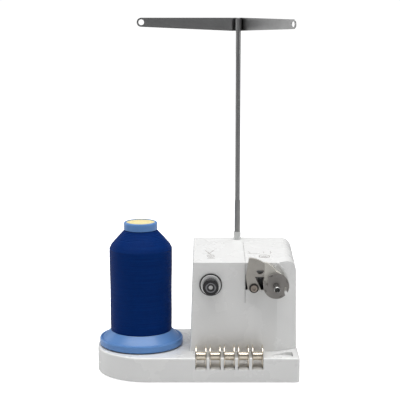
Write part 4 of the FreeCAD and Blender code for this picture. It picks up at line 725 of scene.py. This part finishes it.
@dataclass
class Body(SubAssembly):
    """Base, housing, cover, feet and the printed threading marks on the sloped top."""

    slope_deg: float = 6.2
    front_top: Tuple[float, float] = (-27.15, 104.9)
    ink_width: float = 0.55 * MM
    shell: Finish = field(default_factory=lambda: Plastic(PlasticLook(
        "shell_white", (0.80, 0.80, 0.79), roughness=0.27, grain=0.05, drift=0.008, dust=0.015, wear_and_highlight=0.25,
        coat=0.25)))
    ink: Finish = field(default_factory=lambda: Plastic(PlasticLook(
        "printed_grey", (0.22, 0.20, 0.185), roughness=0.5, drift=0.1, dust=0.0)))

    def on_slope(self, x: float, y: float) -> Vector:
        """Point on the sloped top, from its x and y in millimetres."""
        rise = (y - self.front_top[0]) * math.tan(math.radians(self.slope_deg))
        return Vector((x, y, self.front_top[1] + rise)) * MM

    def ribbon(self, name: str, path: Sequence[Tuple[float, float]]) -> bpy.types.Object:
        """A printed line on the slope through plan points in millimetres."""
        width = self.ink_width / MM / 2
        left, right = [], []
        for i, (x, y) in enumerate(path):
            ax, ay = path[max(i - 1, 0)]
            bx, by = path[min(i + 1, len(path) - 1)]
            length = math.hypot(bx - ax, by - ay) or 1.0
            nx, ny = -(by - ay) / length * width, (bx - ax) / length * width
            left.append(self.on_slope(x + nx, y + ny))
            right.append(self.on_slope(x - nx, y - ny))
        Bench.point(left[0])
        loop = left[1:] + right[::-1]
        last = left[0]
        for spot in loop:
            bpy.ops.mesh.extrude_vertices_move(TRANSFORM_OT_translate={"value": spot - last})
            last = spot
        bpy.ops.mesh.select_all(action="SELECT")
        bpy.ops.mesh.edge_face_add()
        bpy.ops.mesh.select_all(action="SELECT")
        bpy.ops.mesh.quads_convert_to_tris()
        bpy.ops.mesh.extrude_region_move(TRANSFORM_OT_translate={"value": (0, 0, 0.04 * MM)})
        Bench.weld()
        return Bench.settle(name)

    @staticmethod
    def round_path(x: float, y: float, rx: float, ry: float, start: float = 0.0, end: float = 360.0,
                   steps: int = 20) -> List[Tuple[float, float]]:
        """Points along part of an ellipse."""
        turn = [math.radians(start + (end - start) * k / steps) for k in range(steps + 1)]
        return [(x + rx * math.cos(a), y + ry * math.sin(a)) for a in turn]

    def left_mark(self) -> bpy.types.Object:
        """Generic drawing of a thread that goes between two discs."""
        lines = [
            [(7.4, 8.4), (9.6, 3.2), (12.6, -3.2)],
            [(15.4, 8.8), (12.6, 2.2), (9.8, -2.2)],
            self.round_path(12.6, -8.6, 3.0, 4.0),
            self.round_path(12.6, -8.6, 1.1, 1.6, steps=12),
            [(9.2, -14.8), (16.2, -14.8)],
        ]
        inked = [self.ribbon(f"ink_left_{i}", path) for i, path in enumerate(lines)]
        return Bench.join("threading_mark_left", inked)

    def right_mark(self) -> bpy.types.Object:
        """Generic drawing of a bobbin, its thread and the way that it turns."""
        lines = [
            [(46.4, 1.0), (49.5, -1.6), (54.0, -1.2), (57.4, -1.0)],
            [(46.8, 6.0), (49.0, 1.2)],
            self.round_path(61.4, -8.8, 4.8, 4.4),
            self.round_path(61.4, -8.8, 1.5, 1.3, steps=12),
            self.round_path(61.4, -8.8, 3.2, 2.9, 200.0, 340.0, 10),
            [(61.4, 4.4), (61.4, 0.2)],
            [(67.4, 5.4), (68.2, 1.6), (67.0, -1.4)],
        ]
        inked = [self.ribbon(f"ink_right_{i}", path) for i, path in enumerate(lines)]
        return Bench.join("threading_mark_right", inked)

    def build(self) -> List[bpy.types.Object]:
        """Shells and printed marks."""
        self.dress_nodes(["base_shell", "housing_shell"], self.shell)
        dress(self.nodes["bottom_cover"], Plastic(PlasticLook(
            "cover_grey", (0.42, 0.42, 0.41), roughness=0.55, grain=0.4, grain_scale=900.0)))
        dress(self.nodes["rubber_feet"], Fibre(FibreLook("feet_rubber", (0.03, 0.03, 0.03), 0.85, 700.0,
            0.3, 0.1)))
        marks = [self.left_mark(), self.right_mark()]
        for mark in marks:
            dress(mark, self.ink)
            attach(mark, "stand")
        return marks


@dataclass
class ThreadStand(SubAssembly):
    """Socket, telescopic rod and guide bar."""

    def build(self) -> List[bpy.types.Object]:
        """Metal of the stand and the pale socket."""
        rod = node_centre("upper_rod")
        steel = Metal(MetalLook("rod_satin_steel", (0.33, 0.33, 0.33), roughness=0.30, lay=Lay.TURNED,
                                along=Axis.Z, centre=(rod.x, rod.y, 0.0), marks=0.12, fineness=1800.0))
        sheet = Metal(MetalLook("bar_satin_steel", (0.34, 0.34, 0.34), roughness=0.34, lay=Lay.STRAIGHT,
                                along=Axis.X, marks=0.2, fineness=2600.0))
        self.dress_nodes(["lower_tube", "upper_rod"], steel)
        self.dress_nodes(["guide_bar", "bar_collar"], sheet)
        dress(self.nodes["rod_socket"], Plastic(PlasticLook(
            "socket_grey", (0.60, 0.61, 0.60), roughness=0.4, grain=0.1)))
        return []


@dataclass
class ThreadSpool(SubAssembly):
    """Spool with its label and the wound thread."""

    ridge_pitch: float = 1.15 * MM
    ridge_height: float = 0.10 * MM
    barrel_bulge: float = 0.25 * MM
    bore_radius: float = 14.3 * MM
    foot_radius: float = 28.2 * MM
    collar_radius: float = 15.4 * MM
    crest_height: float = 91.2 * MM
    lathe_steps: int = 144

    def winding_outline(self) -> List[Tuple[float, float]]:
        """Outline of the winding: barrel with soft ridges, round shoulder and cone up to the collar."""
        low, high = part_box("thread_winding")
        core_low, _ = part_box("spool_core")
        foot = self.foot_radius
        shoulder = (high.x - low.x) / 2 - self.ridge_height
        collar = self.collar_radius
        start, crest = low.z, core_low.z + self.crest_height
        end = high.z - 1.0 * MM
        floor = start + 0.05 * MM
        points: List[Tuple[float, float]] = [(self.bore_radius, floor), (foot - 0.6 * MM, floor)]
        rows = int((crest - start) / self.ridge_pitch)
        for i in range(rows + 1):
            t = i / rows
            base = foot + (shoulder - foot) * t + self.barrel_bulge * math.sin(t * math.pi * 3) * 0.4
            wobble = 0.5 + 0.5 * math.sin(i * 1.7)
            for k, lift in ((0.0, 0.0), (0.5, 1.0)):
                z = start + (i + k) * self.ridge_pitch * 0.985 + 0.2 * MM
                if z < crest:
                    points.append((base + lift * self.ridge_height * wobble, z))
        rows = int((end - crest) / self.ridge_pitch)
        for i in range(1, rows + 1):
            t = i / rows
            radius = shoulder + (collar - shoulder) * t - 0.25 * MM
            height = crest + (end - crest) * t + 0.35 * MM * math.sin(t * math.pi)
            points.append((radius, height))
            points.append((radius - 0.25 * self.ridge_pitch + self.ridge_height,
                height + 0.5 * self.ridge_pitch))
        points.append((self.bore_radius, end + 0.4 * MM))
        points.append(points[0])
        return points

    def wind(self) -> bpy.types.Object:
        """The winding, with a wrap map: u round the spool, v along it."""
        centre = node_centre("spool_label")
        axis_foot = Vector((centre.x, centre.y, 0.0))
        piece = Bench.lathe("wound_thread", self.winding_outline(), axis_foot, Axis.Z, self.lathe_steps)
        mesh = piece.data
        wrap = mesh.uv_layers.new(name="wrap")
        for face in mesh.polygons:
            angles = []
            for loop in face.loop_indices:
                co = mesh.vertices[mesh.loops[loop].vertex_index].co - axis_foot
                angles.append(math.atan2(co.y, co.x) / (2 * math.pi) % 1.0)
            seam = max(angles) - min(angles) > 0.5
            for loop, angle in zip(face.loop_indices, angles):
                co = mesh.vertices[mesh.loops[loop].vertex_index].co
                wrap.data[loop].uv = (angle + 1.0 if seam and angle < 0.5 else angle, co.z / 0.1)
        return piece

    def build(self) -> List[bpy.types.Object]:
        """Spool plastic, felt, pin, label and thread."""
        blue = Plastic(PlasticLook("spool_blue", (0.105, 0.25, 0.55), roughness=0.32, grain=0.12,
                                   drift=0.05,
                                   dust=0.04, wear_and_highlight=0.3))
        dress(self.nodes["spool_core"], blue)
        dress(self.nodes["spool_pin"], Plastic(PlasticLook("pin_plastic", (0.7, 0.7, 0.69), roughness=0.4)))
        dress(self.nodes["spool_felt"], Fibre(FibreLook("pressed_felt", (0.62, 0.61, 0.57))))
        centre = node_centre("spool_label")
        low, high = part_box("spool_label")
        dress(self.nodes["spool_label"], PaperLabel("label_paper", (centre.x, centre.y, centre.z),
            (high.x - low.x) / 2))
        thread = self.wind()
        # The second colour is the painted highlight on the strand crests.
        dress(thread, WoundThread(ThreadLook("navy_thread", (0.0005, 0.014, 0.100), (0.001, 0.040, 0.21),
            300.0, 9.0)))
        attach(thread, "spool")
        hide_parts("thread_winding")
        return [thread]


@dataclass
class BobbinRack(SubAssembly):
    """Five metal bobbins and the thread cutter."""

    count: int = 5

    def build(self) -> List[bpy.types.Object]:
        """Nickel of the bobbins and ground steel of the blade."""
        centre = node_centre("bobbin_1")
        nickel = Metal(MetalLook("bobbin_nickel", (0.80, 0.72, 0.60), roughness=0.24, lay=Lay.TURNED,
                                 along=Axis.X,
                                 centre=(0.0, centre.y, centre.z), marks=0.10, fineness=1500.0, drift=0.05))
        self.dress_nodes([f"bobbin_{i + 1}" for i in range(self.count)], nickel)
        dress(self.nodes["thread_cutter"], Metal(MetalLook(
            "blade_steel", (0.30, 0.30, 0.31), roughness=0.3, lay=Lay.STRAIGHT, along=Axis.Z)))
        return []


@dataclass
class WinderArm(SubAssembly):
    """Lever, spindle arm, shield, pivot and spindle."""

    def build(self) -> List[bpy.types.Object]:
        """Castings, steel and the white shield."""
        seat = node_centre("bobbin_seat")
        pivot = node_centre("pivot_washer")
        dress(self.nodes["winder_lever"], Metal(MetalLook(
            "lever_cast", (0.44, 0.42, 0.385), roughness=0.5, marks=0.2, fineness=2200.0, wear_and_highlight=0.5,
            metallic=0.35)))
        self.dress_nodes(["spindle_arm", "arm_link"], Metal(MetalLook(
            "arm_cast", (0.66, 0.64, 0.585), roughness=0.5, marks=0.2, fineness=2200.0, wear_and_highlight=0.5,
            metallic=0.3)))
        dress(self.nodes["arm_shield"], Plastic(PlasticLook(
            "shield_white", (0.72, 0.72, 0.71), roughness=0.3, grain=0.06, drift=0.015, wear_and_highlight=0.2)))
        disc = Metal(MetalLook("seat_steel", (0.29, 0.275, 0.26), roughness=0.42, lay=Lay.TURNED,
                               along=Axis.Y,
                               centre=(seat.x, 0.0, seat.z), marks=0.18, fineness=2200.0, wear_and_highlight=0.7,
                               metallic=0.6))
        turned = Metal(MetalLook("spindle_steel", (0.42, 0.42, 0.41), roughness=0.28, lay=Lay.TURNED,
                                 along=Axis.Y,
                                 centre=(seat.x, 0.0, seat.z), marks=0.12, fineness=1800.0))
        dress(self.nodes["bobbin_seat"], disc)
        dress(self.nodes["spindle_shaft"], turned)
        dress(self.nodes["pivot_washer"], Metal(MetalLook(
            "washer_dark", (0.06, 0.055, 0.05), roughness=0.4, lay=Lay.TURNED, along=Axis.Y,
            centre=(pivot.x, 0.0, pivot.z), metallic=0.7)))
        dress(self.nodes["pivot_screw"], Metal(MetalLook(
            "screw_steel", (0.36, 0.31, 0.27), roughness=0.35, lay=Lay.TURNED, along=Axis.Y,
            centre=(pivot.x, 0.0, pivot.z))))
        return []


@dataclass
class PretensionUnit(SubAssembly):
    """Escutcheon, discs, spring, knob and stud."""

    insert_inner: float = 3.1 * MM
    insert_outer: float = 4.9 * MM

    def knob_insert(self) -> bpy.types.Object:
        """Metal ring let into the knob's face."""
        low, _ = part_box("tension_knob")
        middle = node_centre("tension_knob")
        centre = Vector((middle.x, low.y, middle.z))
        outline = [
            (self.insert_inner, 0.75 * MM), (self.insert_inner, 0.35 * MM),
            (self.insert_inner + 0.3 * MM, 0.15 * MM),
            (self.insert_outer - 0.3 * MM, 0.15 * MM), (self.insert_outer, 0.35 * MM),
            (self.insert_outer, 0.75 * MM), (self.insert_inner, 0.75 * MM)]
        return Bench.lathe("knob_insert", outline, centre, Axis.Y, 48)

    def build(self) -> List[bpy.types.Object]:
        """Black plastic, polished discs and the metal insert."""
        middle = node_centre("tension_knob")
        centre = (middle.x, 0.0, middle.z)
        black = Plastic(PlasticLook("knob_black", (0.010, 0.010, 0.011), roughness=0.22, grain=0.1,
            dust=0.03))
        # Painted reflection: the polished discs are near-white and hardly metallic, so their bright chrome
        # reflection is in the colour; no painted recess shade on them.
        chrome_painted_reflection = Metal(MetalLook("disc_chrome", (0.97, 0.97, 0.96), roughness=0.24, lay=Lay.TURNED,
                                 along=Axis.Y,
                                 centre=centre, marks=0.05, fineness=1500.0, recess=0.0, metallic=0.1))
        grey = Metal(MetalLook("insert_steel", (0.20, 0.20, 0.21), roughness=0.25, lay=Lay.TURNED,
                               along=Axis.Y,
                               centre=centre, marks=0.1, fineness=1500.0))
        self.dress_nodes(["tension_knob", "tension_escutcheon"], black)
        self.dress_nodes(["rear_tension_disc", "front_tension_disc", "pressure_washer", "stop_washer"],
            chrome_painted_reflection)
        dress(self.nodes["tension_stud"], Metal(MetalLook(
            "stud_steel", (0.50, 0.50, 0.50), roughness=0.22, lay=Lay.TURNED, along=Axis.Y, centre=centre)))
        insert = self.knob_insert()
        dress(insert, grey)
        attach(insert, "knob")
        return [insert]


@dataclass
class Works(SubAssembly):
    """Drive, switch, springs, screws and electrics, most of it inside the housing."""

    def build(self) -> List[bpy.types.Object]:
        """Finishes of the inner works."""
        motor = node_centre("motor_can")
        plated = Metal(MetalLook("plated_steel", (0.55, 0.56, 0.57), roughness=0.38, marks=0.25,
            fineness=1200.0))
        wire = Metal(MetalLook("spring_wire", (0.48, 0.48, 0.48), roughness=0.25, marks=0.1))
        self.dress_nodes(["mechanism_bracket", "bottom_screws", "housing_screws", "bracket_screws",
                          "motor_screws",
                          "spool_pin_screw", "lever_stud", "tension_nut", "jack_nut"], plated)
        self.dress_nodes(["lever_spring", "tension_spring", "spindle_clip"], wire)
        dress(self.nodes["motor_can"], Metal(MetalLook(
            "motor_steel", (0.46, 0.47, 0.48), roughness=0.35, lay=Lay.TURNED, along=Axis.Y,
            centre=(motor.x, 0.0, motor.z), marks=0.2, fineness=900.0)))
        self.dress_nodes(["motor_shaft", "pivot_post"], Metal(MetalLook(
            "turned_steel", (0.5, 0.5, 0.5), roughness=0.25, lay=Lay.TURNED, along=Axis.Y,
            centre=(motor.x, 0.0, motor.z))))
        self.dress_nodes(["drive_roller", "spindle_bushes"], Metal(MetalLook(
            "sintered_bronze", (0.45, 0.27, 0.11), roughness=0.45, marks=0.35, fineness=2600.0)))
        dress(self.nodes["friction_wheel"], Plastic(PlasticLook("wheel_black", (0.03, 0.03, 0.03),
            roughness=0.45)))
        dress(self.nodes["wheel_tyre"], Fibre(FibreLook("tyre_rubber", (0.02, 0.02, 0.02), 0.8, 1200.0,
            0.4, 0.1)))
        self.dress_nodes(["switch_body", "dc_jack"], Plastic(PlasticLook(
            "switch_black", (0.02, 0.02, 0.02), roughness=0.4, grain=0.25)))
        dress(self.nodes["switch_plunger"], Plastic(PlasticLook("plunger_red", (0.35, 0.02, 0.015),
            roughness=0.35)))
        dress(self.nodes["circuit_board"], Plastic(PlasticLook(
            "board_green", (0.015, 0.13, 0.05), roughness=0.35, grain=0.3, grain_scale=600.0, drift=0.3)))
        return []


# ---------------------------------------------------------------------------- studio
@dataclass
class Softbox:
    """One soft area light."""

    name: str
    place: Point
    target: Point
    size: Tuple[float, float]
    watts: float
    colour: Colour = (1.0, 1.0, 1.0)

    def build(self) -> bpy.types.Object:
        """Adds the light."""
        data = bpy.data.lights.new(self.name, "AREA")
        data.shape = "RECTANGLE"
        data.size, data.size_y = self.size
        data.energy = self.watts
        data.color = self.colour
        lamp = bpy.data.objects.new(self.name, data)
        lamp.location = self.place
        lamp.rotation_euler = (Vector(self.target) - Vector(self.place)).to_track_quat("-Z", "Y").to_euler()
        bpy.context.scene.collection.objects.link(lamp)
        return lamp


@dataclass
class Studio:
    """Pale floor, soft light and the camera."""

    floor_tone: float = 0.62
    floor_lift: float = 1.0
    ambient: float = 0.22
    lens_mm: float = 108.28
    camera_place: Point = (0.00265, -1.08365, 0.3432)
    camera_tilt_deg: float = 80.28

    def floor(self) -> None:
        """A wide pale floor, just under the rubber feet."""
        low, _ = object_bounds()
        Bench.clear()
        bpy.ops.mesh.primitive_plane_add(size=12.0, location=(0.0, 0.0, low.z))
        floor = Bench.settle("studio_floor")
        dress(floor, Backdrop("floor_paper", self.floor_tone, self.floor_lift))
        floor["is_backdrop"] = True

    def world(self) -> None:
        """Even pale surroundings: white behind the object, softer as a light."""
        world = bpy.data.worlds.new("studio")
        bpy.context.scene.world = world
        world.use_nodes = True
        graph = Graph(world.node_tree)
        seen = graph.add("ShaderNodeBackground", None, {"Color": (1, 1, 1, 1), "Strength": 1.05})
        lit = graph.add("ShaderNodeBackground", None,
            {"Color": (0.97, 0.98, 1.0, 1), "Strength": self.ambient})
        path = graph.add("ShaderNodeLightPath")
        both = graph.add("ShaderNodeMixShader", None, {
            0: path.outputs["Is Camera Ray"], 1: lit.outputs[0], 2: seen.outputs[0]})
        graph.add("ShaderNodeOutputWorld", None, {"Surface": both.outputs[0]})

    def lights(self) -> None:
        """Large overhead box, a weak front fill and boxes at the sides."""
        boxes = [
            Softbox("top_box", (0.0, -0.10, 1.5), (0.0, 0.0, 0.05), (1.7, 1.3), 29.0),
            Softbox("front_fill", (0.15, -2.0, 0.3), (0.0, 0.0, 0.06), (1.6, 0.5), 0.15),
            Softbox("right_box", (1.5, -0.6, 0.6), (0.05, 0.0, 0.08), (0.8, 0.8), 3.6),
            Softbox("left_box", (-1.5, -0.7, 0.6), (0.0, 0.0, 0.15), (0.9, 0.9), 2.4),
            Softbox("rear_left_box", (-1.35, 0.85, 0.45), (0.0, 0.0, 0.3), (1.0, 0.9), 3.5),
        ]
        for light in boxes:
            light.build()

    def camera(self) -> None:
        """The camera in front of the object, a little above it."""
        data = bpy.data.cameras.new("view")
        data.sensor_width = 36.0
        data.lens = self.lens_mm
        data.clip_start, data.clip_end = 0.01, 50.0
        camera = bpy.data.objects.new("view", data)
        camera.location = self.camera_place
        camera.rotation_euler = (math.radians(self.camera_tilt_deg), 0.0, 0.0)
        bpy.context.scene.collection.objects.link(camera)
        bpy.context.scene.camera = camera

    def build(self) -> None:
        """Everything that isn't the object."""
        bpy.context.scene.view_settings.view_transform = "Standard"
        self.floor()
        self.world()
        self.lights()
        self.camera()


def main() -> None:
    """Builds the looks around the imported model."""
    logging.basicConfig(level=logging.INFO, format="%(name)s: %(message)s")
    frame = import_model()
    Studio().build()
    nodes = frame["nodes"]
    groups: List[Callable[..., SubAssembly]] = [
        Body, ThreadStand, ThreadSpool, BobbinRack, WinderArm, PretensionUnit, Works]
    for group in groups:
        made = group(nodes).build()
        LOG.info("%s: %s", group.__name__, [piece.name for piece in made] or "CAD nodes dressed")


if __name__ == "__main__":
    main()
